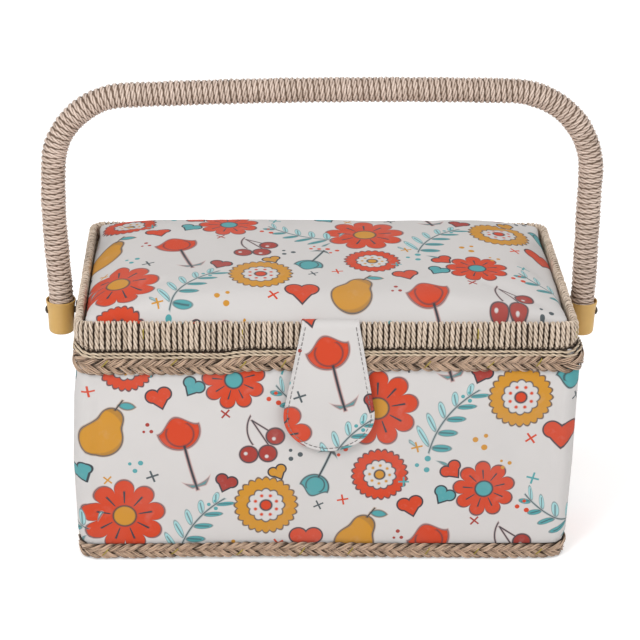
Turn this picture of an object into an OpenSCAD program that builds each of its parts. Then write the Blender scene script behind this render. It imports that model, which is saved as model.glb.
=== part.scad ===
// Sewing basket: a cloth-covered box with a padded, cord-bound lid, a front tab that a
// magnet holds, a lift-out tray, two rear hinges and a cord-wrapped bail handle.
// Millimetres. The origin is the centre of the face that the box rests on.
// +X is to the right, +Y to the back and +Z up.

/* [Box] */
// Width of the box over its cloth
box_w = 276; // [240:1:320]
// Depth of the box over its cloth
box_d = 156; // [140:1:190]
// Height of the box up to the seam under the lid
box_h = 133.5; // [120:0.5:160]
// Radius of the upright corners over the cloth
corner_r = 9; // [8:0.5:12]
// Thickness of the outer cloth with its wadding
cover_t = 1.5; // [1:0.1:2]
// Thickness of the wall boards
board_t = 3; // [2.5:0.1:4]
// Thickness of the lining cloth
lining_t = 1; // [0.6:0.1:1.4]
// Thickness of the cloth under the base
base_cloth_t = 1; // [0.6:0.1:1.5]
// Thickness of the base board
base_board_t = 4; // [3:0.1:6]
// Thickness of the padded floor inside
floor_pad_t = 2; // [1:0.1:4]

/* [Braids and cord] */
// How far the braids stand out from the cloth
braid_out = 2.7; // [2:0.1:3.5]
// Height of the plaited braid under the seam
top_braid_h = 10.5; // [8:0.1:12]
// Height of the braid round the base
base_braid_h = 10; // [8:0.1:14]
// Thickness of the two-strand cord in the seam
seam_cord_d = 3.8; // [3:0.1:4.5]

/* [Lid] */
// How far the rim stands out past the cloth of the box on each side
rim_over = 2; // [1.5:0.1:2.4]
// Height of the rim
rim_h = 14.5; // [13:0.1:18]
// Thickness of the rim with its cord
rim_t = 4.5; // [4:0.1:6]
// Thickness of the cord wound round the rim
rim_cord_t = 1.3; // [1:0.1:1.5]
// Thickness of the lid board
lid_board_t = 3; // [2:0.1:4]
// Thickness of the lining under the lid board
lid_lining_t = 1.1; // [0.8:0.1:1.5]
// Height of the pad's crown over its edge
pad_crown = 8; // [4:0.5:10]
// Radius of the pad's rolled edge
pad_roll = 5; // [3:0.5:6]
// Gap between the pad and the rim
pad_gap = 0.9; // [0.8:0.1:2]

/* [Lid fittings] */
// Radius of the pincushion
pincushion_r = 27; // [20:1:32]
// Depth of the pincushion below the lining
pincushion_h = 10; // [6:0.5:12]
// Distance of the pincushion's middle from the inside of the rim
fitting_inset = 50; // [45:1:60]
// Gap between the pocket in the lid and the pincushion
pocket_gap = 14; // [8:1:40]
// Distance of the pocket's mouth from the inside of the rim at the front
mouth_inset = 20.5; // [12:0.5:40]
// Distance of the pocket's fold from the inside of the rim at the back
fold_inset = 46.5; // [42:0.5:60]
// Thickness of the pocket when it is empty
pocket_t = 3; // [2:0.1:5]
// Width of the elastic in the pocket's mouth
elastic_w = 6; // [4:0.5:10]

/* [Tab] */
// Place of the tab's centre line, to the right of the middle
tab_x = 1.5; // [-20:0.5:20]
// Width of the tab where it leaves the lid
tab_top_w = 32; // [24:0.5:40]
// Half the width of the tab at its round end
tab_r = 25.6; // [22:0.1:30]
// Depth of the tab's round end below its widest place
tab_end_h = 21.4; // [16:0.1:28]
// Length of the tab from the top of the rim to its end
tab_len = 76.8; // [66:0.2:95]
// Thickness of the tab
tab_t = 2.6; // [2.2:0.1:3.5]
// Radius of the steel plate sewn into the tab
tab_plate_r = 8; // [6:0.5:10]
// Thickness of the steel plate
tab_plate_t = 0.6; // [0.4:0.1:0.8]
// Radius of the magnet in the front board
magnet_r = 7; // [5:0.5:9]
// Thickness of the magnet
magnet_t = 2; // [1.5:0.1:2.4]

/* [Hinges] */
// Distance of each hinge's middle from the end of the box
hinge_inset = 50; // [38:1:78]
// Width of a hinge
hinge_w = 24; // [20:1:36]
// Height of a leaf on the box, below the hinge line
leaf_h = 18; // [16:0.5:24]
// Height of a leaf on the lid, above the hinge line
lid_leaf_h = 12; // [11:0.5:13]
// Thickness of a leaf
leaf_t = 1; // [0.8:0.1:1.2]
// Outer radius of a knuckle
knuckle_r = 1.9; // [1.7:0.1:2.2]
// Radius of a hinge pin
pin_r = 0.85; // [0.7:0.05:1]
// Radius of a screw's shank
screw_r = 1; // [0.8:0.1:1.2]
// Radius of a screw's head
screw_head_r = 2; // [1.6:0.1:2.4]

/* [Handle] */
// Radius of the handle over its cord
rope_r = 7.1; // [6:0.1:7.3]
// Radius of the rod inside the cord
core_r = 4.2; // [3.6:0.1:4.4]
// Depth of the grooves between two turns of the cord
groove = 0.6; // [0.3:0.05:0.9]
// Turns of the cord round the handle
turns = 170; // [120:1:190]
// Height of the handle's bar over its pivots
handle_rise = 135.5; // [120:0.5:150]
// Radius of the handle's bends
bend_r = 50; // [40:1:60]
// Gap between the cloth of the box and the handle's ferrules
arm_gap = 6.5; // [6:0.1:9]
// Distance of the pivots below the seam
pivot_drop = 11; // [9:0.5:14]

/* [Ferrules and rivets] */
// Radius of a ferrule's mouth
ferrule_mouth_r = 8.5; // [8.4:0.1:9.5]
// Radius of a ferrule at its closed end
ferrule_end_r = 7.1; // [6.6:0.1:7.6]
// Length of a ferrule
ferrule_len = 20.5; // [18:0.5:24]
// Distance of a ferrule's mouth above its pivot
ferrule_up = 6.7; // [6:0.1:8]
// Thickness of a ferrule's closed end
ferrule_floor = 2.5; // [1.5:0.1:4]
// Radius of a rivet's shank
rivet_r = 2; // [1.6:0.1:2.2]
// Radius of a rivet's domed head
rivet_head_r = 2.9; // [2.7:0.1:3.4]
// Height of a rivet's domed head
rivet_head_h = 1.7; // [1.2:0.1:2.4]
// Radius of the spacer washers between box and handle
spacer_r = 5.5; // [4.5:0.1:6]
// Radius of the steel plates inside the walls
rivet_plate_r = 8; // [6:0.5:10]
// Thickness of the steel plates inside the walls
rivet_plate_t = 1; // [0.8:0.1:1.2]

/* [Tray] */
// Height of the tray
tray_h = 30; // [22:1:36]
// Distance of the tray's top below the seam
tray_drop = 21.5; // [20:0.5:30]
// Gap between the tray and the lining
tray_gap = 4; // [3.9:0.1:6]
// Thickness of the tray's walls and floor
tray_t = 2; // [1.5:0.1:3]
// Radius of the tray's upright corners
tray_r = 6; // [4:0.5:8]
// Width of the narrow bins at the tray's ends
bin_w = 58; // [40:1:70]
// Depth of the long bin at the front of the tray
long_bin_d = 52; // [40:1:70]
// Radius of the finger dips in the tray's end walls
dip_r = 14; // [10:0.5:16]
// Height of the strips that carry the tray
ledge_h = 6; // [4:0.5:10]
// Width of the strips that carry the tray
ledge_w = 7; // [6.5:0.5:9]
// Length of the strips that carry the tray
ledge_len = 120; // [80:1:125]

/* [Hidden] */
$fn = 64;

// Clearances
run = 0.08;         // round a shaft in its bore
slip = 0.3;         // between pieces that move past each other
snug = 0.1;         // round a fastener in its hole
// Walls, from the cloth inwards
board_out = cover_t;
board_in = board_out + board_t;
lining_in = board_in + lining_t;
hem_h = 1;
floor_z = base_cloth_t + base_board_t;
board_top = box_h - hem_h;
// Braids
base_braid_z = 0.4;
braid_edge = 0.8;
seam_cord_z = box_h - seam_cord_d;
top_braid_z = seam_cord_z - top_braid_h;
// Lid
lid_w = box_w + 2 * rim_over;
lid_d = box_d + 2 * rim_over;
lid_r = corner_r + 1;
rim_top = box_h + rim_h;
lid_lining_z = box_h + 0.4;
lid_board_z = lid_lining_z + lid_lining_t;
pad_z = lid_board_z + lid_board_t;
pad_edge_z = rim_top - 0.5;
pad_inset = rim_t + pad_gap;
fitting_x = lid_w / 2 - rim_t - fitting_inset;
pocket_w = 2 * fitting_x - pincushion_r - pocket_gap;
pocket_d = lid_d - 2 * rim_t - mouth_inset - elastic_w - fold_inset;
pocket_y = (mouth_inset + elastic_w - fold_inset) / 2;
// Tab
tab_axis_y = -(box_d / 2 + braid_out + 0.4);
tab_axis_z = rim_top + 0.2;
tab_round_z = rim_top - tab_len + tab_end_h;
tab_layer = tab_t / 2;
root_tail_t = 0.6;
root_lean = 1.2;
// Hinges
hinge_x = box_w / 2 - hinge_inset;
hinge_y = lid_d / 2 + knuckle_r + 1;
leaf_y = box_d / 2 + braid_out;
lid_leaf_y = lid_d / 2;
knuckle_gap = 0.3;
knuckle_w = (hinge_w - 2 * knuckle_gap) / 3;
screw_dx = hinge_w / 3;
box_screw_z = box_h - leaf_h + 4;
lid_screw_z = box_h + lid_leaf_h - 3.4;
box_screw_len = braid_out + cover_t + 2;
lid_screw_len = rim_t - 0.6;
screw_dome_h = 1;
// Handle
arm_x = box_w / 2 + arm_gap + ferrule_mouth_r;
pivot_z = box_h - pivot_drop;
bar_z = pivot_z + handle_rise;
ferrule_z = pivot_z + ferrule_up - ferrule_len;
socket_depth = 4;
cord_z = pivot_z + ferrule_up - socket_depth + 0.3;
rod_z = ferrule_z + ferrule_floor + 0.1;
arm_len = bar_z - bend_r - cord_z;
bar_len = 2 * (arm_x - bend_r);
bend_len = PI * bend_r / 2;
cord_len = 2 * arm_len + 2 * bend_len + bar_len;
cord_sides = 8;
bore_r = (core_r + 0.25) / cos(180 / cord_sides);
bend_steps = 12;
rivet_in = box_w / 2 - lining_in - rivet_plate_t - slip;
rivet_out = arm_x + ferrule_mouth_r - 0.4;
spacer_in = box_w / 2 + braid_out + 0.1;
spacer_out = arm_x - ferrule_mouth_r - slip;
tail_h = 1.4;
// Tray
tray_w = box_w - 2 * lining_in - 2 * tray_gap;
tray_d = box_d - 2 * lining_in - 2 * tray_gap;
tray_top = box_h - tray_drop;
tray_z = tray_top - tray_h;

// Shared shapes

// Carries a flat profile round a box with round upright corners.
// The profile's x is the distance out from the box's face, and its y is the height.
module round_box(w, d, r) {
    for (k = [0:3]) {
        side = k % 2 == 0 ? d : w;
        out = k % 2 == 0 ? w : d;
        rotate([0, 0, 90 * k]) {
            translate([out / 2, side / 2 - r, 0]) rotate([90, 0, 0])
                linear_extrude(side - 2 * r) children();
            translate([out / 2 - r, side / 2 - r, 0]) rotate_extrude(angle = 90)
                translate([r, 0]) children();
        }
    }
}

// A flat plate with round upright corners, from height z up
module round_plate(w, d, r, z, h) {
    round_box(w, d, r) translate([-r, z]) square([r, h]);
    translate([-w / 2 + r, -d / 2 + r, z]) cube([w - 2 * r, d - 2 * r, h]);
}

// A profile with its two outer edges cut back
module band(from, out, z, h, edge) {
    polygon([[from, z], [out - edge, z], [out, z + edge], [out, z + h - edge],
        [out - edge, z + h], [from, z + h]]);
}

// A rod along X, from x0 to x1
module rod_x(x0, x1, r) {
    translate([x0, 0, 0]) rotate([0, 90, 0]) cylinder(h = x1 - x0, r = r);
}

// A rod along Y, from y0 to y1
module rod_y(y0, y1, r) {
    translate([0, y0, 0]) rotate([-90, 0, 0]) cylinder(h = y1 - y0, r = r);
}

// A dome on a flat base, its axis +Z
module dome(r, h) {
    ball = (r * r + h * h) / (2 * h);
    rotate_extrude() intersection() {
        translate([0, h - ball]) circle(ball, $fn = 128);
        square([r, h]);
    }
}

// The rivets' bores through both walls, and through what they hold
module rivet_bores(r) {
    translate([0, 0, pivot_z]) rod_x(-arm_x - 20, arm_x + 20, r);
}

// The screw places of both hinges on one side of the hinge line
module screw_places(z) {
    for (s = [-1, 1]) for (t = [-1, 1])
        translate([s * hinge_x + t * screw_dx, 0, z]) children();
}

module box_screw_holes() {
    screw_places(box_screw_z) rod_y(leaf_y - box_screw_len - 0.2, leaf_y + 5, screw_r + snug);
}

module lid_screw_holes() {
    screw_places(lid_screw_z) rod_y(lid_leaf_y - lid_screw_len - 0.2, lid_leaf_y + 5, screw_r + snug);
}

// A round-head screw that points to the front, its head's flat side at y
module screw(y, len) {
    rod_y(y - len, y + 0.01, screw_r);
    translate([0, y, 0]) rotate([-90, 0, 0]) dome(screw_head_r, screw_dome_h);
}

// Box

module base_cloth() {
    color("#b9ad9d") round_plate(box_w - 2 * cover_t, box_d - 2 * cover_t, corner_r - cover_t,
        0, base_cloth_t);
}

module base_board() {
    color("#c9a877") round_plate(box_w - 2 * board_in, box_d - 2 * board_in, corner_r - board_in,
        base_cloth_t, base_board_t);
}

module floor_pad() {
    color("#e9e2d2") round_plate(box_w - 2 * lining_in - 0.4, box_d - 2 * lining_in - 0.4,
        corner_r - lining_in, floor_z, floor_pad_t);
}

// One wall board, in front of the middle, for a wall of the given width and distance
module wall_board(width, distance) {
    translate([-width / 2 + corner_r, -distance / 2 + board_out, base_cloth_t])
        cube([width - 2 * corner_r, board_t, board_top - base_cloth_t]);
}

module front_board() {
    color("#c9a877") difference() {
        wall_board(box_w, box_d);
        translate([tab_x, 0, tab_round_z]) rod_y(-box_d / 2 + board_out - 1,
            -box_d / 2 + board_out + magnet_t + 0.1, magnet_r + snug);
    }
}

module back_board() {
    color("#c9a877") difference() {
        rotate([0, 0, 180]) wall_board(box_w, box_d);
        box_screw_holes();
    }
}

module left_board() {
    color("#c9a877") difference() {
        rotate([0, 0, -90]) wall_board(box_d, box_w);
        rivet_bores(rivet_r + run);
    }
}

module right_board() {
    color("#c9a877") difference() {
        rotate([0, 0, 90]) wall_board(box_d, box_w);
        rivet_bores(rivet_r + run);
    }
}

module corner_strips() {
    color("#c9a877") for (sx = [0, 1]) for (sy = [0, 1]) mirror([sx, 0, 0]) mirror([0, sy, 0])
        translate([box_w / 2 - corner_r, box_d / 2 - corner_r, 0]) rotate_extrude(angle = 90)
            translate([corner_r - board_in, base_cloth_t]) square([board_t, board_top - base_cloth_t]);
}

module outer_cover() {
    color("#dedbd8") difference() {
        round_box(box_w, box_d, corner_r) polygon([[0, base_braid_z], [0, box_h],
            [-board_in, box_h], [-board_in, board_top], [-cover_t, board_top],
            [-cover_t, base_braid_z]]);
        rivet_bores(rivet_r + run);
        box_screw_holes();
    }
}

module wall_lining() {
    color("#ece5d6") difference() {
        round_box(box_w, box_d, corner_r) translate([-lining_in, floor_z])
            square([lining_t, box_h - floor_z]);
        rivet_bores(rivet_r + run);
    }
}

module base_braid() {
    color("#b8a896") round_box(box_w, box_d, corner_r)
        band(0, braid_out, base_braid_z, base_braid_h, braid_edge);
}

module top_braid() {
    color("#b8a896") difference() {
        round_box(box_w, box_d, corner_r) band(0, braid_out, top_braid_z, top_braid_h, braid_edge);
        rivet_bores(rivet_r + run);
        box_screw_holes();
    }
}

module seam_cord() {
    color("#cfc4b2") round_box(box_w, box_d, corner_r)
        band(0, braid_out - 0.2, seam_cord_z, seam_cord_d, seam_cord_d / 3);
}

module ledge() {
    color("#c9a877") translate([box_w / 2 - lining_in - ledge_w, -ledge_len / 2, tray_z - ledge_h])
        cube([ledge_w, ledge_len, ledge_h]);
}

module left_ledge() { mirror([1, 0, 0]) ledge(); }

module right_ledge() { ledge(); }

module spacer_washers() {
    color("#8a6a2f") difference() {
        for (s = [0, 1]) mirror([s, 0, 0]) translate([0, 0, pivot_z])
            rod_x(spacer_in, spacer_out, spacer_r);
        rivet_bores(rivet_r + run);
    }
}

module rivet_plates() {
    color("silver") difference() {
        for (s = [0, 1]) mirror([s, 0, 0]) translate([0, 0, pivot_z])
            rod_x(box_w / 2 - lining_in - rivet_plate_t, box_w / 2 - lining_in, rivet_plate_r);
        rivet_bores(rivet_r + run);
    }
}

module tab_magnet() {
    color("silver") translate([tab_x, 0, tab_round_z])
        rod_y(-box_d / 2 + board_out, -box_d / 2 + board_out + magnet_t, magnet_r);
}

// Hinges

// The stretch of knuckle from x0 to x1, about the hinge line
module knuckle(x0, x1) {
    translate([0, hinge_y, box_h]) rod_x(x0, x1, knuckle_r);
}

module pin_bore(r) {
    translate([0, hinge_y, box_h]) rod_x(-hinge_w, hinge_w, r);
}

module box_hinge_leaf() {
    side = hinge_w / 2;
    color("#b08d3e") difference() {
        union() {
            translate([-side, leaf_y, box_h - leaf_h])
                cube([hinge_w, leaf_t, leaf_h - knuckle_r - 2 * slip]);
            for (x = [-side, side - knuckle_w]) {
                translate([x, leaf_y, box_h - leaf_h]) cube([knuckle_w, leaf_t, leaf_h]);
                knuckle(x, x + knuckle_w);
            }
        }
        pin_bore(pin_r);
        for (t = [-1, 1]) translate([t * screw_dx, 0, box_screw_z])
            rod_y(leaf_y - 5, leaf_y + 5, screw_r + snug);
    }
}

module lid_hinge_leaf() {
    side = hinge_w / 2;
    web = hinge_y - knuckle_r - lid_leaf_y + 0.3;
    low = knuckle_r + 2 * slip;
    color("#b08d3e") difference() {
        union() {
            translate([-side, lid_leaf_y, box_h + low]) cube([hinge_w, web, lid_leaf_h - low]);
            translate([-knuckle_w / 2, lid_leaf_y, box_h]) cube([knuckle_w, web, lid_leaf_h]);
            knuckle(-knuckle_w / 2, knuckle_w / 2);
        }
        pin_bore(pin_r + run);
        for (t = [-1, 1]) translate([t * screw_dx, 0, lid_screw_z])
            rod_y(lid_leaf_y - 5, lid_leaf_y + 5, screw_r + snug);
    }
}

module hinge_pin() {
    color("#8a6a2f") translate([0, hinge_y, box_h]) rod_x(-hinge_w / 2, hinge_w / 2, pin_r);
}

module box_hinge_leaf_left() { translate([-hinge_x, 0, 0]) box_hinge_leaf(); }

module box_hinge_leaf_right() { translate([hinge_x, 0, 0]) box_hinge_leaf(); }

module lid_hinge_leaf_left() { translate([-hinge_x, 0, 0]) lid_hinge_leaf(); }

module lid_hinge_leaf_right() { translate([hinge_x, 0, 0]) lid_hinge_leaf(); }

module hinge_pin_left() { translate([-hinge_x, 0, 0]) hinge_pin(); }

module hinge_pin_right() { translate([hinge_x, 0, 0]) hinge_pin(); }

module box_hinge_screws() {
    color("#b08d3e") screw_places(box_screw_z) screw(leaf_y + leaf_t, box_screw_len + leaf_t);
}

module lid_hinge_screws() {
    leaf = hinge_y - knuckle_r - lid_leaf_y + 0.3;
    color("#b08d3e") screw_places(lid_screw_z) screw(lid_leaf_y + leaf, lid_screw_len + leaf);
}

// Lid

module lid_board() {
    color("#c9a877") round_plate(lid_w - 2 * rim_t, lid_d - 2 * rim_t, lid_r - rim_t,
        lid_board_z, lid_board_t);
}

module lid_rim_core() {
    color("#c9a877") difference() {
        round_box(lid_w, lid_d, lid_r) translate([-rim_t + rim_cord_t, box_h + rim_cord_t])
            square([rim_t - 2 * rim_cord_t, rim_h - 2 * rim_cord_t]);
        lid_screw_holes();
    }
}

module lid_rim_cord() {
    color("#c3b49f") difference() {
        round_box(lid_w, lid_d, lid_r) difference() {
            translate([-rim_t, box_h]) square([rim_t, rim_h]);
            translate([-rim_t + rim_cord_t, box_h + rim_cord_t])
                square([rim_t - 2 * rim_cord_t, rim_h - 2 * rim_cord_t]);
        }
        lid_screw_holes();
    }
}

// Points of one ring of the pad: a rounded rectangle set in by some distance
pad_a = lid_w / 2 - pad_inset;
pad_b = lid_d / 2 - pad_inset;
arc_n = 4;
long_n = 5;
short_n = 3;
function ring_r(inset) = min(lid_r - rim_t + 0.4 * inset, pad_b - inset - 0.05);
function ring_side(ax, by, r, k) =
    let (side = k % 2 == 0 ? by : ax, out = k % 2 == 0 ? ax : by, n = k % 2 == 0 ? short_n : long_n)
    [for (i = [1:n]) [out, (side - r) * (2 * i / (n + 1) - 1)],
        for (i = [0:arc_n]) [out - r + r * cos(90 * i / arc_n), side - r + r * sin(90 * i / arc_n)]];
function turn(p, k) = k == 0 ? p : turn([-p[1], p[0]], k - 1);
function ring(inset) =
    let (ax = pad_a - inset, by = pad_b - inset, r = ring_r(inset))
    [for (k = [0:3]) for (p = ring_side(ax, by, r, k)) turn(p, k)];
square_power = 5;
swell_power = 0.6;
function swell(share) = max(0, 1 - pow(abs(share), square_power));
function crown(p) = pad_crown * pow(swell(p[0] / pad_a) * swell(p[1] / pad_b), swell_power);
function roll(inset) =
    inset >= pad_roll ? 0 : pad_roll * (sqrt(1 - pow(1 - inset / pad_roll, 2)) - 1);
roll_steps = 5;
crown_steps = 9;
pad_insets = [for (i = [0:roll_steps]) pad_roll * (1 - cos(90 * i / roll_steps)),
    for (i = [1:crown_steps]) pad_roll + (pad_b - pad_roll - 1) * i / crown_steps];

// The lid's padded top: rolled edge, low crown and sides drawn in at the foot
module lid_pad() {
    foot = ring(0.6);
    n = len(foot);
    points = [for (p = foot) [p[0], p[1], pad_z],
        for (inset = pad_insets) for (p = ring(inset))
            [p[0], p[1], pad_edge_z + crown(p) * min(1, inset / pad_roll) + roll(inset)],
        [0, 0, pad_z], [0, 0, pad_edge_z + pad_crown]];
    low = len(points) - 2;
    top = len(points) - 1;
    last = len(pad_insets) * n;
    faces = [for (i = [0:len(pad_insets) - 1]) for (j = [0:n - 1]) let (q = (j + 1) % n)
            each [[i * n + j, (i + 1) * n + q, i * n + q], [i * n + j, (i + 1) * n + j, (i + 1) * n + q]],
        for (j = [0:n - 1]) [low, j, (j + 1) % n],
        for (j = [0:n - 1]) [top, last + (j + 1) % n, last + j]];
    color("#dedbd8") polyhedron(points, faces);
}

module lid_lining() {
    color("#ece5d6") round_plate(lid_w - 2 * rim_t - 0.4, lid_d - 2 * rim_t - 0.4,
        lid_r - rim_t - 0.2, lid_lining_z, lid_lining_t);
}

module lid_pocket() {
    color("#ece5d6") translate([-fitting_x, pocket_y - pocket_d / 2, lid_lining_z - pocket_t])
        cube([pocket_w, pocket_d, pocket_t]);
}

module pocket_elastic() {
    color("#c24a2a") translate([-fitting_x, pocket_y - pocket_d / 2 - elastic_w,
        lid_lining_z - pocket_t]) cube([pocket_w, elastic_w, pocket_t]);
}

// The pincushion hangs under the lid, its crown down
module pincushion() {
    belly = 0.8;
    steps = 10;
    waist = pincushion_h - pincushion_h * belly;
    color("#c24a2a") translate([fitting_x, pocket_y, lid_lining_z - waist]) rotate_extrude()
        polygon([[0, 0], [pincushion_r - 1.5, 0], [pincushion_r, -1],
            for (i = [1:steps - 1]) [pincushion_r * cos(90 * i / steps),
                -1 - (pincushion_h * belly - 1) * sin(90 * i / steps)],
            [0, -pincushion_h * belly]]);
}

module pincushion_band() {
    color("#e0b04a") translate([fitting_x, pocket_y, lid_lining_z - pincushion_h * 0.2])
        cylinder(h = pincushion_h * 0.2, r = pincushion_r);
}

// Tab

// The sewn end of the tab: over the rim and down behind it
module tab_root() {
    inner_y = -(lid_d / 2 - rim_t);
    color("#dedbd8") translate([tab_x - tab_top_w / 2, 0, 0]) rotate([90, 0, 90])
        linear_extrude(tab_top_w) polygon([[tab_axis_y + 0.1, tab_axis_z],
            [inner_y, tab_axis_z], [inner_y, pad_z], [inner_y + root_tail_t, pad_z],
            [inner_y + root_tail_t, tab_axis_z + tab_t / 2], [inner_y - 0.4, tab_axis_z + tab_t],
            [tab_axis_y + root_lean, tab_axis_z + tab_t]]);
}

// The tab's outline, its height measured from the rim's top
module tab_outline() {
    widest = tab_end_h - tab_len;
    side = asin((tab_r - tab_top_w / 2) / -widest);
    steps = 26;
    polygon([[-tab_top_w / 2, 0], [tab_top_w / 2, 0],
        for (i = [0:steps]) let (a = side - (180 + 2 * side) * i / steps, high = sin(a) > 0)
            [tab_r * cos(a), widest + (high ? tab_r : tab_end_h) * sin(a)]]);
}

// One layer of the hanging tab, between two depths in front of the tab's axis
module tab_sheet(back, front) {
    translate([tab_x, tab_axis_y - back, rim_top]) rotate([90, 0, 0])
        linear_extrude(front - back) tab_outline();
}

module tab_front() {
    color("#dedbd8") tab_sheet(tab_layer, tab_t);
}

module tab_back() {
    color("#ece5d6") difference() {
        tab_sheet(0, tab_layer);
        translate([tab_x, 0, tab_round_z]) rod_y(tab_axis_y - tab_layer - 1,
            tab_axis_y - tab_layer + tab_plate_t + 0.1, tab_plate_r + snug);
    }
}

module tab_plate() {
    color("silver") translate([tab_x, 0, tab_round_z])
        rod_y(tab_axis_y - tab_layer, tab_axis_y - tab_layer + tab_plate_t, tab_plate_r);
}

// Rivets

module rivet_right() {
    color("#5a4a33") translate([0, 0, pivot_z]) {
        rod_x(rivet_in - 0.01, rivet_out + slip + 0.01, rivet_r);
        translate([rivet_out + slip, 0, 0]) rotate([0, 90, 0]) dome(rivet_head_r, rivet_head_h);
        translate([rivet_in, 0, 0]) rotate([0, -90, 0]) dome(rivet_head_r, tail_h);
    }
}

module rivet_left() { mirror([1, 0, 0]) rivet_right(); }

// Handle

// A round rod bent along the handle's line
module bent_rod(r, z) {
    for (s = [0, 1]) mirror([s, 0, 0]) {
        translate([arm_x, 0, z]) cylinder(h = bar_z - bend_r - z, r = r);
        translate([arm_x - bend_r, 0, bar_z - bend_r]) rotate([90, 0, 0])
            rotate_extrude(angle = 90) translate([bend_r, 0]) circle(r);
    }
    translate([0, 0, bar_z]) rod_x(-arm_x + bend_r, arm_x - bend_r, r);
}

module handle_rod() {
    color("#8b7a60") difference() {
        bent_rod(core_r, rod_z);
        rivet_bores(rivet_r + run);
    }
}

// The handle's line: [x, z, direction] at a distance from the left end of the cord
function half_line(s) =
    s <= arm_len ? [-arm_x, cord_z + s, 90] :
    s <= arm_len + bend_len ? let (a = (s - arm_len) / bend_r * 180 / PI)
        [-arm_x + bend_r - bend_r * cos(a), bar_z - bend_r + bend_r * sin(a), 90 - a] :
    [-arm_x + bend_r + s - arm_len - bend_len, bar_z, 0];
function line(s) = s <= cord_len / 2 ? half_line(s) :
    let (p = half_line(cord_len - s)) [-p[0], p[1], -p[2]];
// One ring round the line, square to it
function cord_ring(s, r) =
    let (p = line(s))
    [for (j = [0:cord_sides - 1]) let (a = 360 * (j + 0.5) / cord_sides)
        [p[0] - r * cos(a) * sin(p[2]), r * sin(a), p[1] + r * cos(a) * cos(p[2])]];
bend_stops = [for (i = [0:bend_steps]) arm_len + bend_len * i / bend_steps];
bore_stops = [0, each bend_stops, for (i = [0:bend_steps]) cord_len - bend_stops[bend_steps - i],
    cord_len];

// The wound cord: a rib for each turn, and a bore for the rod
module handle_cord() {
    n = cord_sides;
    skins = [for (i = [0:2 * turns]) cord_ring(cord_len * i / (2 * turns), rope_r - groove * (1 - i % 2))];
    bores = [for (s = bore_stops) cord_ring(s, bore_r)];
    m = len(skins);
    b = m * n;
    last = (m - 1) * n;
    bore_last = b + (len(bores) - 1) * n;
    function quad(p, q, r, s) = [[p, q, r], [p, r, s]];
    faces = [for (i = [0:m - 2]) for (j = [0:n - 1]) let (k = (j + 1) % n)
            each quad(i * n + j, i * n + k, (i + 1) * n + k, (i + 1) * n + j),
        for (i = [0:len(bores) - 2]) for (j = [0:n - 1]) let (k = (j + 1) % n)
            each quad(b + i * n + k, b + i * n + j, b + (i + 1) * n + j, b + (i + 1) * n + k),
        for (j = [0:n - 1]) let (k = (j + 1) % n) each quad(j, b + j, b + k, k),
        for (j = [0:n - 1]) let (k = (j + 1) % n)
            each quad(last + j, last + k, bore_last + k, bore_last + j)];
    color("#b3998a") polyhedron([for (ring = skins) each ring, for (ring = bores) each ring], faces);
}

// A moulded cup with a flared mouth and a round foot
module ferrule_right() {
    foot = 1.2;
    lip = 0.6;
    flare = 5;
    waist_r = ferrule_end_r + 0.8;
    color("#c99a45") difference() {
        translate([arm_x, 0, ferrule_z]) rotate_extrude() polygon([[0, 0],
            [ferrule_end_r - foot, 0], [ferrule_end_r - foot / 3, foot / 3], [ferrule_end_r, foot],
            [waist_r, ferrule_len - flare], [ferrule_mouth_r, ferrule_len - lip],
            [ferrule_mouth_r - lip / 2, ferrule_len], [rope_r + 0.25, ferrule_len],
            [rope_r + 0.15, ferrule_len - socket_depth], [core_r + run, ferrule_len - socket_depth],
            [core_r + run, ferrule_floor], [0, ferrule_floor]]);
        rivet_bores(rivet_r + run);
    }
}

module ferrule_left() { mirror([1, 0, 0]) ferrule_right(); }

// Tray

// A bin in the tray, between two corners given from the tray's middle
module bin(x0, x1, y0, y1) {
    translate([x0, y0, tray_z + tray_t]) cube([x1 - x0, y1 - y0, tray_h]);
}

module tray() {
    x1 = tray_w / 2 - tray_t;
    x0 = x1 - bin_w;
    y1 = tray_d / 2 - tray_t;
    mid = x0 - tray_t;
    color("#efece4") difference() {
        round_plate(tray_w, tray_d, tray_r, tray_z, tray_h);
        for (s = [0, 1]) mirror([s, 0, 0]) {
            bin(x0, x1, tray_t / 2, y1 - tray_r / 3);
            bin(x0, x1, -y1 + tray_r / 3, -tray_t / 2);
            translate([0, 0, tray_top + dip_r / 3]) rod_x(x1 - 1, x1 + tray_t + 1, dip_r);
        }
        bin(-mid, mid, -y1, -y1 + long_bin_d);
        bin(-mid, -tray_t / 2, -y1 + long_bin_d + tray_t, y1);
        bin(tray_t / 2, mid, -y1 + long_bin_d + tray_t, y1);
    }
}

base_cloth();
base_board();
floor_pad();
front_board();
back_board();
left_board();
right_board();
corner_strips();
outer_cover();
wall_lining();
base_braid();
top_braid();
seam_cord();
left_ledge();
right_ledge();
spacer_washers();
rivet_plates();
tab_magnet();
box_hinge_leaf_left();
box_hinge_leaf_right();
hinge_pin_left();
hinge_pin_right();
box_hinge_screws();
lid_board();
lid_rim_core();
lid_rim_cord();
lid_pad();
lid_lining();
lid_pocket();
pocket_elastic();
pincushion();
pincushion_band();
tab_root();
lid_hinge_leaf_left();
lid_hinge_leaf_right();
lid_hinge_screws();
tab_front();
tab_back();
tab_plate();
rivet_left();
rivet_right();
handle_rod();
handle_cord();
ferrule_left();
ferrule_right();
tray();
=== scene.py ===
"""A sewing basket: cloth walls, padded lid, wound-cord rim and handle, plaited bands and a tab."""

import math
import random

import bmesh
import bpy
import numpy as np
from mathutils import Matrix, Vector, noise


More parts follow.
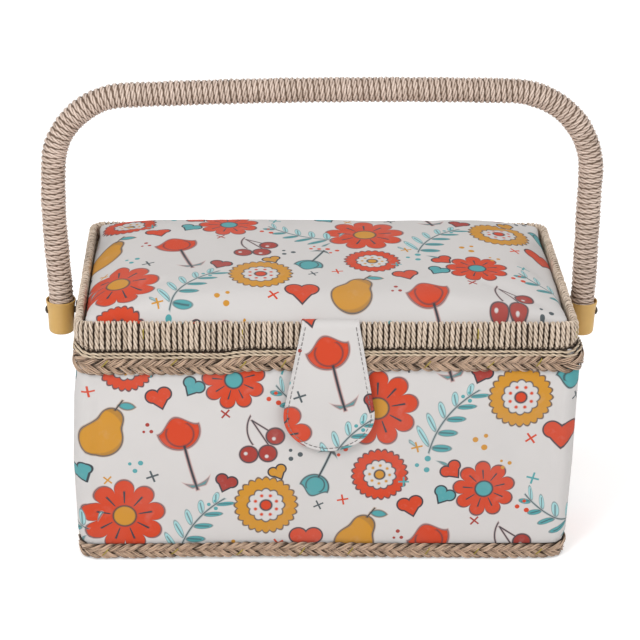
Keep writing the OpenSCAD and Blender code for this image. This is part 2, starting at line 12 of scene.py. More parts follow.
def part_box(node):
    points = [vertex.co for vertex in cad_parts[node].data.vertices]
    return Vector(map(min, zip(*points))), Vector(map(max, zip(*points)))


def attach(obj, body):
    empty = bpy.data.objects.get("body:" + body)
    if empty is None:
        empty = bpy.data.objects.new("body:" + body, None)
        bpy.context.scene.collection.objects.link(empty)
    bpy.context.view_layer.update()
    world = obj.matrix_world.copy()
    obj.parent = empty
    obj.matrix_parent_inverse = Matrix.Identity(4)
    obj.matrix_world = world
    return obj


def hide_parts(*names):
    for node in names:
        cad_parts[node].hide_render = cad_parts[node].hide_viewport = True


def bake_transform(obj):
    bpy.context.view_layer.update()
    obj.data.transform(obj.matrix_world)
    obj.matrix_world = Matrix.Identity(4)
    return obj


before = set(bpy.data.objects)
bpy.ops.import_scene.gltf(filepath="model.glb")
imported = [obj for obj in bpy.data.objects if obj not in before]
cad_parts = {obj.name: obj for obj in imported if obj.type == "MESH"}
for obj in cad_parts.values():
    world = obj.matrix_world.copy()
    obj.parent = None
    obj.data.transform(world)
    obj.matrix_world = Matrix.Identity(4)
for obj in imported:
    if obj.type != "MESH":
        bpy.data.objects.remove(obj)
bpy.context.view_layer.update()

MM = 0.001
TAU = 2 * math.pi

# Sizes, read from the frame in metres
cover_low, cover_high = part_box("outer_cover")
rim_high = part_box("lid_rim_cord")[1]
pad_low, pad_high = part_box("lid_pad")
top_braid_low, top_braid_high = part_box("top_braid")
base_braid_low, base_braid_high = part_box("base_braid")
seam_low, seam_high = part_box("seam_cord")
cord_low, cord_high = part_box("handle_cord")
BOX_X = cover_high.x
BOX_Y = cover_high.y
SEAM_Z = cover_high.z
CORNER = 9 * MM
RIM_X = rim_high.x
RIM_Y = rim_high.y
RIM_TOP = rim_high.z
RIM_T = 4.5 * MM

# The photograph's camera, with its picture taken to be 640 pixels square
PICTURE = 640
FOCAL_PX = 2292
EYE = Vector((-48.28, -1237.5, 650.0)) * MM
PITCH = math.radians(23.33)
YAW = math.radians(2.17)
ROLL = math.radians(0.95)


UP = np.array([0.0, 0.0, 1.0])


def walk(line):
    """How far along a line of points each of them is."""
    return np.concatenate([[0], np.cumsum(np.hypot(*np.diff(line, axis=0).T))])


def eased(share):
    """A share from 0 to 1 that leaves and arrives softly."""
    return share * share * (3 - 2 * share)


def open_edges(mesh):
    """The edges that have a face on one side only."""
    return [edge for edge in mesh.edges if edge.is_boundary]


def turned(points, axis, steps, closed=False):
    """An outline turned once round an axis, as a bmesh."""
    mesh = bmesh.new()
    verts = [mesh.verts.new(point) for point in points]
    pairs = zip(verts, verts[1:] + verts[:1]) if closed else zip(verts, verts[1:])
    edges = [mesh.edges.new(pair) for pair in pairs]
    bmesh.ops.spin(mesh, geom=verts + edges, cent=(0, 0, 0), axis=axis, angle=TAU, steps=steps,
        use_merge=True)
    bmesh.ops.remove_doubles(mesh, verts=mesh.verts, dist=1e-6)
    bmesh.ops.recalc_face_normals(mesh, faces=mesh.faces)
    return mesh


# Camera, lamps and floor

# How strongly the room lights the basket, and how much the floor glows to the camera
ROOM_LEVEL = 0.62
FLOOR_GLOW = 0.32


def make_camera():
    """Sets the camera at the photograph's place."""
    forward = Vector((math.sin(YAW) * math.cos(PITCH), math.cos(YAW) * math.cos(PITCH), -math.sin(PITCH)))
    right = Vector((math.cos(YAW), -math.sin(YAW), 0))
    up = right.cross(forward)
    turned_right = right * math.cos(ROLL) + up * math.sin(ROLL)
    turned_up = up * math.cos(ROLL) - right * math.sin(ROLL)
    data = bpy.data.cameras.new("camera")
    data.sensor_width = 36
    data.lens = FOCAL_PX / PICTURE * data.sensor_width
    data.clip_end = 20
    camera = bpy.data.objects.new("camera", data)
    rows = Matrix((turned_right, turned_up, -forward)).transposed().to_4x4()
    camera.matrix_world = Matrix.Translation(EYE) @ rows
    bpy.context.scene.collection.objects.link(camera)
    bpy.context.scene.camera = camera


def make_lamp(name, place, aim, size, power):
    """One soft square lamp."""
    data = bpy.data.lights.new(name, "AREA")
    data.shape = "SQUARE"
    data.size = size
    data.energy = power
    lamp = bpy.data.objects.new(name, data)
    lamp.location = place
    direction = Vector(aim) - Vector(place)
    lamp.rotation_euler = direction.to_track_quat("-Z", "Y").to_euler()
    bpy.context.scene.collection.objects.link(lamp)


def make_room():
    """White world, pale floor and three soft lamps."""
    scene = bpy.context.scene
    scene.view_settings.view_transform = "Standard"
    world = bpy.data.worlds.new("room")
    scene.world = world
    world.use_nodes = True
    tree = world.node_tree
    back = tree.nodes["Background"]
    path = tree.nodes.new("ShaderNodeLightPath")
    seen = tree.nodes.new("ShaderNodeMath")
    seen.operation = "MAXIMUM"
    tree.links.new(path.outputs["Is Camera Ray"], seen.inputs[0])
    tree.links.new(path.outputs["Is Glossy Ray"], seen.inputs[1])
    level = tree.nodes.new("ShaderNodeMapRange")
    level.inputs["To Min"].default_value = ROOM_LEVEL
    level.inputs["To Max"].default_value = 1
    tree.links.new(seen.outputs[0], level.inputs["Value"])
    tree.links.new(level.outputs["Result"], back.inputs["Strength"])
    back.inputs["Color"].default_value = (1, 1, 1, 1)
    centre = (0, 0, 0.13)
    make_lamp("key", (-0.62, -0.85, 1.0), centre, 0.6, 9)
    make_lamp("fill", (1.3, -1.1, 0.9), centre, 1.1, 8)
    make_lamp("rear", (0.2, 1.3, 1.4), centre, 1.0, 4)
    mesh = bmesh.new()
    bmesh.ops.create_grid(mesh, x_segments=1, y_segments=1, size=6)
    floor = new_object("floor", mesh)
    material, tree, skin = new_material("floor_paint", (0.93, 0.93, 0.93), 0.9)
    glow = tree.nodes.new("ShaderNodeEmission")
    glow.inputs["Strength"].default_value = FLOOR_GLOW
    path = tree.nodes.new("ShaderNodeLightPath")
    sheen = tree.nodes.new("ShaderNodeAddShader")
    blend = tree.nodes.new("ShaderNodeMixShader")
    out = tree.nodes["Material Output"]
    tree.links.new(skin.outputs[0], sheen.inputs[0])
    tree.links.new(glow.outputs[0], sheen.inputs[1])
    tree.links.new(path.outputs["Is Camera Ray"], blend.inputs[0])
    tree.links.new(skin.outputs[0], blend.inputs[1])
    tree.links.new(sheen.outputs[0], blend.inputs[2])
    tree.links.new(blend.outputs[0], out.inputs["Surface"])
    floor.data.materials.append(material)


# Objects

def new_object(name, mesh):
    """Turns a bmesh into an object at the origin."""
    data = bpy.data.meshes.new(name)
    mesh.to_mesh(data)
    mesh.free()
    for face in data.polygons:
        face.use_smooth = True
    thing = bpy.data.objects.new(name, data)
    bpy.context.scene.collection.objects.link(thing)
    return thing


def finish_piece(thing, body, slot, material, *nodes):
    """Gives a piece its body and its material, and hides the CAD nodes that it stands for. slot is not used.
    """
    thing.data.materials.clear()
    thing.data.materials.append(material)
    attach(thing, body)
    if nodes:
        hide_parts(*nodes)
    return thing


def modify(thing, kind, **values):
    """Adds a modifier and sets its values."""
    modifier = thing.modifiers.new(kind.lower(), kind)
    for name, value in values.items():
        setattr(modifier, name, value)
    return modifier


def apply_modifiers(thing):
    """Puts the modifiers' result into the mesh."""
    graph = bpy.context.evaluated_depsgraph_get()
    data = bpy.data.meshes.new_from_object(thing.evaluated_get(graph))
    thing.modifiers.clear()
    thing.data = data


# Materials

def new_material(name, colour, roughness):
    """A material with one Principled shader, and its tree and shader."""
    material = bpy.data.materials.new(name)
    material.use_nodes = True
    tree = material.node_tree
    skin = tree.nodes["Principled BSDF"]
    skin.inputs["Base Color"].default_value = (*colour, 1)
    skin.inputs["Roughness"].default_value = roughness
    return material, tree, skin


class Sum:
    """A number or vector in a node tree, with the usual signs for arithmetic."""

    def __init__(self, tree, socket):
        self.tree = tree
        self.socket = socket

    def op(self, operation, *others, clamp=False):
        """This number and some others, put through a Math node."""
        node = self.tree.nodes.new("ShaderNodeMath")
        node.operation = operation
        node.use_clamp = clamp
        for place, value in enumerate((self, *others)):
            plug(self.tree, value, node.inputs[place])
        return Sum(self.tree, node.outputs[0])

    def __add__(self, other):
        return self.op("ADD", other)

    def __sub__(self, other):
        return self.op("SUBTRACT", other)

    def __rsub__(self, other):
        return constant(self.tree, other).op("SUBTRACT", self)

    def __mul__(self, other):
        return self.op("MULTIPLY", other)

    def __truediv__(self, other):
        return self.op("DIVIDE", other)

    def __neg__(self):
        return self * -1

    def low(self, other):
        return self.op("MINIMUM", other)

    def high(self, other):
        return self.op("MAXIMUM", other)

    def size(self):
        return self.op("ABSOLUTE")

    def below(self, edge, soft=0.04):
        """1 where this is under an edge and 0 where it is over, with a soft step between."""
        return ((self - edge) * (-1 / soft) + 0.5).op("MULTIPLY", 1, clamp=True)


def plug(tree, value, socket):
    """Links a Sum to a socket, or writes a plain number there."""
    if isinstance(value, Sum):
        tree.links.new(value.socket, socket)
    else:
        socket.default_value = value


def constant(tree, value):
    """A plain number as a Sum."""
    node = tree.nodes.new("ShaderNodeValue")
    node.outputs[0].default_value = value
    return Sum(tree, node.outputs[0])


def length2(x, y):
    """The distance of (x, y) from the middle."""
    return (x * x + y * y).op("SQRT")


def new_group(name, inputs, outputs):
    """A shader node group with named sockets. Returns its tree and its inputs as Sums."""
    tree = bpy.data.node_groups.new(name, "ShaderNodeTree")
    for label, kind, value in inputs:
        socket = tree.interface.new_socket(label, in_out="INPUT", socket_type="NodeSocket" + kind)
        if value is not None:
            socket.default_value = value
    for label, kind in outputs:
        tree.interface.new_socket(label, in_out="OUTPUT", socket_type="NodeSocket" + kind)
    entry = tree.nodes.new("NodeGroupInput")
    leave = tree.nodes.new("NodeGroupOutput")
    return tree, {label: Sum(tree, entry.outputs[label]) for label, _, _ in inputs}, leave


def use_group(tree, name, **values):
    """Places a group in a tree and fills its inputs. Returns the node."""
    node = tree.nodes.new("ShaderNodeGroup")
    node.node_tree = bpy.data.node_groups[name]
    for label, value in values.items():
        plug(tree, value, node.inputs[label.replace("_", " ")])
    return node


def split(vector):
    """The x and y of a vector Sum."""
    node = vector.tree.nodes.new("ShaderNodeSeparateXYZ")
    plug(vector.tree, vector, node.inputs[0])
    return Sum(vector.tree, node.outputs[0]), Sum(vector.tree, node.outputs[1])


def join(x, y):
    """A vector Sum from x and y."""
    node = x.tree.nodes.new("ShaderNodeCombineXYZ")
    plug(x.tree, x, node.inputs[0])
    plug(x.tree, y, node.inputs[1])
    return Sum(x.tree, node.outputs[0])


def mixed(tree, share, first, second):
    """Two colours mixed by a share from 0 to 1. A colour is a Sum or a plain triple."""
    node = tree.nodes.new("ShaderNodeMix")
    node.data_type = "RGBA"
    plug(tree, share, node.inputs[0])
    for place, value in ((6, first), (7, second)):
        plug(tree, value if isinstance(value, Sum) else (*value, 1), node.inputs[place])
    return Sum(tree, node.outputs[2])


def noise_at(tree, vector, scale, detail=2.0, roughness=0.5):
    """A noise texture's value."""
    node = tree.nodes.new("ShaderNodeTexNoise")
    node.inputs["Scale"].default_value = scale
    node.inputs["Detail"].default_value = detail
    node.inputs["Roughness"].default_value = roughness
    plug(tree, vector, node.inputs["Vector"])
    return Sum(tree, node.outputs["Fac"])


def object_place(tree):
    """The Object coordinates."""
    node = tree.nodes.new("ShaderNodeTexCoord")
    return Sum(tree, node.outputs["Object"])


def attribute_value(tree, name):
    """A value that the piece's own points carry."""
    node = tree.nodes.new("ShaderNodeAttribute")
    node.attribute_name = name
    return Sum(tree, node.outputs["Fac"])


def uv_place(tree):
    """The piece's own UV map, which holds millimetres."""
    node = tree.nodes.new("ShaderNodeUVMap")
    node.uv_map = "UVMap"
    return Sum(tree, node.outputs[0])


def bumped(tree, skin, height, distance, strength=1.0):
    """Joins a height to the shader's normal."""
    node = tree.nodes.new("ShaderNodeBump")
    node.inputs["Distance"].default_value = distance
    node.inputs["Strength"].default_value = strength
    plug(tree, height, node.inputs["Height"])
    tree.links.new(node.outputs[0], skin.inputs["Normal"])


# Colours, in linear light
GROUND = (0.595, 0.572, 0.56)
LINING = (0.72, 0.66, 0.54)
INK = (0.035, 0.04, 0.05)
RED = (0.57, 0.05, 0.012)
TEAL = (0.075, 0.32, 0.34)
SKY = (0.33, 0.58, 0.6)
MUSTARD = (0.55, 0.25, 0.02)
BRICK = (0.34, 0.04, 0.03)
CHARCOAL = (0.06, 0.08, 0.09)

# The print's repeat, in millimetres, each second column dropped by half of it
REPEAT_X = 124.0
REPEAT_Y = 118.0


def make_place_group():
    """Finds the nearest copy of a motif and gives its own coordinates, 1 unit to its radius."""
    tree, got, leave = new_group("print_place", [("Place", "Vector", None), ("Middle X", "Float", 0),
        ("Middle Y", "Float", 0), ("Turn", "Float", 0), ("Radius", "Float", 10)], [("Place", "Vector")])
    x, y = split(got["Place"])
    x = x - got["Middle X"]
    column = (x / REPEAT_X + 0.5).op("FLOOR")
    x = x - column * REPEAT_X
    y = y - got["Middle Y"] + column * (REPEAT_Y / 2)
    y = y - (y / REPEAT_Y + 0.5).op("FLOOR") * REPEAT_Y
    cos, sin = got["Turn"].op("COSINE"), got["Turn"].op("SINE")
    across = (x * cos + y * sin) / got["Radius"]
    along = (y * cos - x * sin) / got["Radius"]
    tree.links.new(join(across, along).socket, leave.inputs[0])


def motif_group(name, draw):
    """A motif as a group: its coordinates in, its colour and its cover out."""
    tree, got, leave = new_group(name, [("Place", "Vector", None), ("First", "Color", (*RED, 1)),
        ("Second", "Color", (*MUSTARD, 1)), ("Line", "Float", 0.05)],
        [("Color", "Color"), ("Cover", "Float")])
    x, y = split(got["Place"])
    colour, cover = draw(tree, x, y, got)
    tree.links.new(colour.socket, leave.inputs[0])
    tree.links.new(cover.socket, leave.inputs[1])


def over(tree, colour, cover, paint, mask):
    """Paints a mask over a colour and its cover."""
    return mixed(tree, mask, colour, paint), cover.high(mask)


def wash(tree, x, y, paint):
    """A flat paint with the uneven tone of a brushed wash."""
    tone = noise_at(tree, join(x, y), 2.6, 3)
    return mixed(tree, (tone - 0.55).op("MULTIPLY", 0.4, clamp=True), paint, GROUND)


def draw_daisy(tree, x, y, got):
    """Nine round petals, each with a line down it, about a dotted middle."""
    far = length2(x, y)
    angle = y.op("ARCTAN2", x)
    lobes = (angle * 4.5).op("COSINE").size()
    edge = lobes.op("POWER", 0.45) * 0.34 + 0.62
    petals = far - edge
    eye = far - 0.27
    colour = wash(tree, x, y, got["First"])
    cover = petals.below(0.0)
    ray = ((angle * 9).op("COSINE") - 0.93).below(0.0, 0.05)
    ray = (1.0 - ray) * far.below(0.66) * (1.0 - far.below(0.34))
    colour, cover = over(tree, colour, cover, INK, ray * petals.below(0.0))
    colour, cover = over(tree, colour, cover, got["Second"], eye.below(0.0))
    outline = petals.size() - got["Line"]
    rim = eye.size() - got["Line"]
    return over(tree, colour, cover, INK, outline.low(rim).below(0.0))


def draw_tulip(tree, x, y, got):
    """A cup of three pointed petals on a stem with two long leaves."""
    up = y - 0.38
    cup = length2(x, up) - 0.42
    mouth = up - (x * 7.5).op("COSINE") * 0.13 - 0.16
    flower = cup.high(mouth)
    stem = (x - (y * 1.6).op("SINE") * 0.05).size() - 0.035
    stem = stem.high(y - 0.05).high(-(y + 0.98))
    side = x.size()
    first = length2(side + 0.32, y + 0.42)
    leaf = (first - 0.66).high(0.6 - length2(side + 0.06, y + 0.26))
    leaf = leaf.high(-(y + 0.9))
    colour = wash(tree, x, y, got["First"])
    cover = flower.below(0.0)
    colour, cover = over(tree, colour, cover, got["Second"], leaf.below(0.0))
    petal = (length2(x, up + 0.08) - 0.27).size() - got["Line"] * 0.7
    petal = petal.high(flower).high(up - 0.1)
    outline = (flower.size() - got["Line"]).low(leaf.size() - got["Line"] * 0.8)
    return over(tree, colour, cover, INK, outline.low(stem).low(petal).below(0.0))


def draw_sprig(tree, x, y, got):
    """A bent stem with pairs of leaves that grow smaller to the tip."""
    bend = x - y * y * 0.22 + 0.1
    stem = (bend.size() - 0.022).high(y.size() - 0.95)
    step = 0.38
    row = ((y + 0.9) / step).op("FLOOR")
    along = (y + 0.9) - (row + 0.5) * step
    shrink = 1.0 - row * 0.12
    out = bend.size() / shrink
    rise = along - out * 0.5 + 0.1
    blade = ((out - 0.26) * (out - 0.26) + rise * rise * 6.0).op("SQRT") - 0.22
    blade = blade.high(y.size() - 0.98)
    vein = ((rise.size() - 0.012).high(blade)).high(out - 0.4)
    colour = mixed(tree, bend.below(0.0, 0.02), got["First"], got["Second"])
    colour = wash(tree, x, y, colour)
    cover = blade.below(0.0)
    outline = (blade.size() - got["Line"] * 0.7).low(stem).low(vein)
    return over(tree, colour, cover, INK, outline.below(0.0))


def draw_bloom(tree, x, y, got):
    """A round bloom of rings, its edge scalloped."""
    far = length2(x, y)
    angle = y.op("ARCTAN2", x)
    edge = far - (angle * 12).op("COSINE").size() * 0.09 - 0.84
    ring = far - (angle * 6).op("COSINE").size() * 0.07 - 0.48
    colour = wash(tree, x, y, got["First"])
    cover = edge.below(0.0)
    colour, cover = over(tree, colour, cover, GROUND, ring.below(0.0))
    dots = length2(far - 0.33, ((angle * 8 / TAU).op("FRACT") - 0.5) * 0.26) - 0.05
    colour, cover = over(tree, colour, cover, got["Second"], dots.below(0.0))
    colour, cover = over(tree, colour, cover, got["Second"], far.below(0.17))
    outline = (edge.size() - got["Line"]).low(ring.size() - got["Line"] * 0.8)
    outline = outline.low((far - 0.17).size() - got["Line"])
    return over(tree, colour, cover, INK, outline.below(0.0))


def draw_pear(tree, x, y, got):
    """A pear with a bite of light, a stalk and one leaf."""
    low = length2(x, y + 0.28) - 0.52
    high = length2(x - 0.02, y - 0.32) - 0.3
    body = low.op("SMOOTH_MIN", high, 0.35)
    stalk = ((x - 0.02 - (y - 0.6) * 0.25).size() - 0.03).high((y - 0.74).size() - 0.18)
    leaf = (length2(x - 0.3, y - 0.6) - 0.3).high(length2(x - 0.2, y - 0.98) - 0.3)
    colour = wash(tree, x, y, got["First"])
    cover = body.below(0.0)
    shade = length2(x + 0.16, y + 0.14) - 0.62
    colour, cover = over(tree, colour, cover, INK, (1.0 - shade.below(0.0)) * body.below(0.0) * 0.28)
    colour, cover = over(tree, colour, cover, got["Second"], leaf.below(0.0))
    outline = (body.size() - got["Line"]).low(leaf.size() - got["Line"] * 0.8).low(stalk)
    return over(tree, colour, cover, INK, outline.below(0.0))


def draw_heart(tree, x, y, got):
    """A plain heart."""
    side = x.size()
    lobe = length2(side - 0.42, y - 0.3) - 0.5
    point = (side * 0.76 - y * 0.65 - 0.52).high(y - 0.32)
    body = lobe.low(point.high(side - 0.92))
    colour = wash(tree, x, y, got["First"])
    return over(tree, colour, body.below(0.0), INK, (body.size() - got["Line"]).below(0.0))


def draw_berries(tree, x, y, got):
    """Three berries on one forked stalk."""
    first = length2(x + 0.5, y + 0.35) - 0.3
    second = length2(x - 0.08, y + 0.58) - 0.3
    third = length2(x - 0.56, y + 0.12) - 0.3
    berries = first.low(second).low(third)
    stalk = (length2(x - 0.75, y - 0.1) - 1.0).size() - 0.03
    stalk = stalk.high(-(y + 0.1)).high(x - 0.15)
    fork = ((x - 0.1 - (y - 0.75) * -0.12).size() - 0.03).high((y - 0.2).size() - 0.55)
    twig = ((x - 0.3 + (y - 0.4) * 0.6).size() - 0.035).high((y - 0.45).size() - 0.3)
    colour = wash(tree, x, y, got["First"])
    glint = length2(x, y + 0.66).low(length2(x + 0.58, y + 0.28))
    glint = glint.low(length2(x - 0.48, y + 0.18)) - 0.06
    cover = berries.below(0.0)
    colour, cover = over(tree, colour, cover, GROUND, glint.below(0.0) * berries.below(0.0))
    outline = (berries.size() - got["Line"]).low(stalk).low(fork).low(twig)
    return over(tree, colour, cover, INK, outline.below(0.0))


def draw_cross(tree, x, y, got):
    """A small stitched cross."""
    arms = (x.size() - 0.14).high(y.size() - 0.9).low((y.size() - 0.14).high(x.size() - 0.9))
    return wash(tree, x, y, got["First"]), arms.below(0.0)


def draw_dots(tree, x, y, got):
    """Three loose dots."""
    dots = length2(x + 0.55, y - 0.2) - 0.24
    dots = dots.low(length2(x - 0.3, y - 0.55) - 0.18).low(length2(x - 0.2, y + 0.5) - 0.26)
    return wash(tree, x, y, got["First"]), dots.below(0.0)


MOTIFS = {"daisy": draw_daisy, "tulip": draw_tulip, "sprig": draw_sprig, "bloom": draw_bloom,
    "pear": draw_pear, "heart": draw_heart, "berries": draw_berries, "cross": draw_cross, "dots": draw_dots}

# What is where in one repeat: motif, middle in millimetres, turn in degrees, radius, two colours
LAYOUT = [
    ("daisy", 22, 24, 10, 21, RED, MUSTARD),
    ("sprig", 58, 18, -35, 22, TEAL, SKY),
    ("bloom", 92, 30, 0, 17, MUSTARD, RED),
    ("tulip", 52, 62, 18, 25, RED, TEAL),
    ("pear", 14, 72, -22, 19, MUSTARD, TEAL),
    ("berries", 88, 66, 25, 15, BRICK, TEAL),
    ("sprig", 112, 84, 60, 20, SKY, TEAL),
    ("bloom", 24, 106, 20, 15, RED, MUSTARD),
    ("daisy", 76, 98, -25, 16, RED, TEAL),
    ("tulip", 118, 46, 160, 17, TEAL, CHARCOAL),
    ("heart", 40, 88, 15, 7, RED, RED),
    ("heart", 72, 42, -20, 6, BRICK, RED),
    ("heart", 3, 48, 30, 6, TEAL, RED),
    ("heart", 112, 10, 0, 9, RED, RED),
    ("heart", 56, 94, -30, 6, TEAL, RED),
    ("heart", 98, 48, 25, 5, MUSTARD, RED),
    ("heart", 60, 108, 40, 6, RED, RED),
    ("cross", 36, 46, 20, 3.6, CHARCOAL, RED),
    ("cross", 100, 104, -15, 3.6, TEAL, RED),
    ("cross", 98, 8, 35, 3.6, RED, RED),
    ("cross", 6, 92, 10, 3.2, RED, RED),
    ("cross", 72, 80, -40, 3.2, BRICK, RED),
    ("cross", 42, 3, 15, 3.2, MUSTARD, RED),
    ("dots", 74, 6, 0, 6, MUSTARD, RED),
    ("dots", 106, 58, 70, 5, CHARCOAL, RED),
    ("dots", 46, 112, 130, 6, TEAL, RED),
    ("dots", 4, 2, 200, 5, RED, RED),
    ("dots", 96, 88, 20, 5, RED, RED),
    ("dots", 28, 52, 100, 5, TEAL, RED),
    ("dots", 34, 72, 160, 4, BRICK, RED),
    ("dots", 120, 64, 40, 4, RED, RED),
    ("dots", 66, 30, 10, 4, TEAL, RED),
    ("dots", 86, 112, 80, 4, MUSTARD, RED),
    ("cross", 118, 30, 25, 3, CHARCOAL, RED),
    ("cross", 14, 44, 50, 3, MUSTARD, RED),
    ("cross", 36, 102, 0, 3, TEAL, RED),
]


def make_print_group():
    """The whole print: millimetres in, colour out."""
    tree, got, leave = new_group("print", [("Place", "Vector", None)], [("Color", "Color")])
    colour = GROUND
    for name, x, y, turn, radius, first, second in LAYOUT:
        place = use_group(tree, "print_place", Place=got["Place"], Middle_X=x, Middle_Y=y,
            Turn=math.radians(turn), Radius=radius)
        motif = use_group(tree, "motif_" + name, Place=Sum(tree, place.outputs[0]), First=(*first, 1),
            Second=(*second, 1), Line=0.42 / radius)
        colour = mixed(tree, Sum(tree, motif.outputs[1]), colour, Sum(tree, motif.outputs[0]))
    tree.links.new(colour.socket, leave.inputs[0])


def make_weave_group():
    """A plain weave: millimetres in, the height of its threads out."""
    tree, got, leave = new_group("weave", [("Place", "Vector", None), ("Pitch", "Float", 0.45)],
        [("Height", "Float")])
    x, y = split(got["Place"])
    x = x / got["Pitch"] * math.pi
    y = y / got["Pitch"] * math.pi
    across = x.op("SINE") * y.op("COSINE")
    along = x.op("COSINE") * y.op("SINE")
    tree.links.new(across.size().high(along.size()).socket, leave.inputs[0])


def make_grain_group():
    """A broad tone, a fine height and thin scratches, for moulded, cast and pressed surfaces."""
    tree, got, leave = new_group("grain", [("Place", "Vector", None), ("Fine", "Float", 500)],
        [("Tone", "Float"), ("Height", "Float"), ("Scratch", "Float")])
    broad = noise_at(tree, got["Place"], 26, 3)
    node = tree.nodes.new("ShaderNodeTexNoise")
    node.inputs["Detail"].default_value = 3
    plug(tree, got["Place"], node.inputs["Vector"])
    plug(tree, got["Fine"], node.inputs["Scale"])
    fine = Sum(tree, node.outputs["Fac"])
    stretched = tree.nodes.new("ShaderNodeMapping")
    stretched.inputs["Scale"].default_value = (9, 1.3, 14)
    stretched.inputs["Rotation"].default_value = (0.3, 0.2, 0.7)
    plug(tree, got["Place"], stretched.inputs["Vector"])
    lines = noise_at(tree, Sum(tree, stretched.outputs[0]), 160, 2)
    scratch = (lines - 0.68).op("MULTIPLY", 9, clamp=True)
    tone = (broad * 0.6 + fine * 0.4 - 0.3).op("MULTIPLY", 2.2, clamp=True)
    for place, value in enumerate((tone, fine, scratch)):
        tree.links.new(value.socket, leave.inputs[place])


def make_groups():
    """Every shared node group."""
    make_place_group()
    for name, draw in MOTIFS.items():
        motif_group("motif_" + name, draw)
    make_print_group()
    make_weave_group()
    make_grain_group()


def scaled(tree, vector, factor):
    """A vector made longer or shorter."""
    node = tree.nodes.new("ShaderNodeVectorMath")
    node.operation = "SCALE"
    node.inputs["Scale"].default_value = factor
    plug(tree, vector, node.inputs[0])
    return Sum(tree, node.outputs[0])


# How much smaller the motifs are printed than LAYOUT has them
PRINT_SCALE = 0.87


def cloth_material(name, place, printed=True, colour=GROUND, pitch=0.45):
    """Cotton cloth with a plain weave, printed or plain. place gives millimetres."""
    material, tree, skin = new_material(name, colour, 0.85)
    where = place(tree)
    if place is object_place:
        where = scaled(tree, where, 1 / MM)
    if printed:
        paint = Sum(tree, use_group(tree, "print", Place=scaled(tree, where, PRINT_SCALE)).outputs[0])
    else:
        paint = mixed(tree, noise_at(tree, where, 0.3, 3), colour, tuple(0.93 * c for c in colour))
    soil = (noise_at(tree, where, 0.02, 3) - 0.42).op("MULTIPLY", 0.35, clamp=True)
    paint = mixed(tree, soil, paint, tuple(0.62 * c for c in colour))
    threads = Sum(tree, use_group(tree, "weave", Place=where, Pitch=pitch).outputs[0])
    # Painted shade: the cloth is darker where the weave lies low between its threads.
    paint = mixed(tree, (1.0 - threads) * 0.1, paint, tuple(0.55 * c for c in colour))
    plug(tree, paint, skin.inputs["Base Color"])
    skin.inputs["Sheen Weight"].default_value = 0.05
    skin.inputs["Sheen Roughness"].default_value = 0.5
    skin.inputs["Specular IOR Level"].default_value = 0.15
    slub = noise_at(tree, where, 1.1, 3)
    plug(tree, slub * 0.12 + 0.78, skin.inputs["Roughness"])
    bumped(tree, skin, threads * 0.7 + slub * 0.5, 0.00008, 0.6)
    return material


def cord_material(name, pale, dark, slit_shade, roughness, streaks, sink):
    """Twisted paper cord: mottled, streaked along its plies, with painted shade where it dips between them
    and a painted highlight on its crests.
    """
    material, tree, skin = new_material(name, pale, roughness)
    where = object_place(tree)
    u, v = split(uv_place(tree))
    streak = noise_at(tree, join(u * streaks, v * 7), 1.0, 3, 0.6)
    patches = noise_at(tree, where, 60, 2)
    turns = noise_at(tree, where, 310, 1)
    flecks = noise_at(tree, where, 1300, 2, 0.6)
    tone = attribute_value(tree, "tone")
    share = ((patches - 0.5) * 1.1 + (turns - 0.5) * 1.1 + (streak - 0.5) * 1.5 + (flecks - 0.5) * 0.7
        + (tone - 0.5) * 1.3 + 0.4).op("MULTIPLY", 1, clamp=True)
    paint = mixed(tree, share, pale, dark)
    # Painted shade and highlight: the colour darkens towards the third colour where the surface lies low
    # between plies and turns, and lightens where it stands high.
    rise = attribute_value(tree, "rise")
    sunk = (sink - rise).op("MULTIPLY", 1.9, clamp=True)
    painted_crest_highlight = ((rise - 0.66) * 2.2 + (streak - 0.5) * 1.6).op("MULTIPLY", 1, clamp=True)
    paint = mixed(tree, painted_crest_highlight * 0.55, paint, tuple(min(1.4 * c, 1) for c in pale))
    paint = mixed(tree, sunk * 0.92, paint, slit_shade)
    plug(tree, paint, skin.inputs["Base Color"])
    plug(tree, streak * 0.3 + sunk * 0.3 + (roughness - 0.13), skin.inputs["Roughness"])
    skin.inputs["Specular IOR Level"].default_value = 0.6
    bumped(tree, skin, streak * 1.2 + flecks * 0.4, 0.00016, 0.8)
    return material


def felt_material(name, colour):
    """Wool felt: matted fibres with a soft sheen."""
    material, tree, skin = new_material(name, colour, 0.95)
    where = object_place(tree)
    mat = noise_at(tree, where, 900, 4, 0.7)
    broad = noise_at(tree, where, 70, 2)
    shade = ((mat - 0.4) * 1.4 + (broad - 0.5) * 0.8).op("MULTIPLY", 1, clamp=True)
    dark = tuple(0.62 * c for c in colour)
    pale = tuple(min(1.15 * c + 0.01, 1) for c in colour)
    plug(tree, mixed(tree, shade, dark, pale), skin.inputs["Base Color"])
    plug(tree, mat * 0.1 + 0.85, skin.inputs["Roughness"])
    skin.inputs["Sheen Weight"].default_value = 0.5
    bumped(tree, skin, mat, 0.0004, 0.8)
    return material


def grained(name, colour, shade, roughness, fine, depth, metallic=0.0):
    """Board, plastic or metal, with an uneven tone, a fine grain and faint scratches."""
    material, tree, skin = new_material(name, colour, roughness)
    group = use_group(tree, "grain", Place=object_place(tree), Fine=fine)
    tone, height, scratch = (Sum(tree, group.outputs[k]) for k in range(3))
    plug(tree, mixed(tree, tone, colour, shade), skin.inputs["Base Color"])
    plug(tree, (height - 0.5) * 0.16 + scratch * 0.14 + roughness, skin.inputs["Roughness"])
    skin.inputs["Metallic"].default_value = metallic
    bumped(tree, skin, height - scratch * 0.3, depth, 0.7)
    return material


# Loops round the box

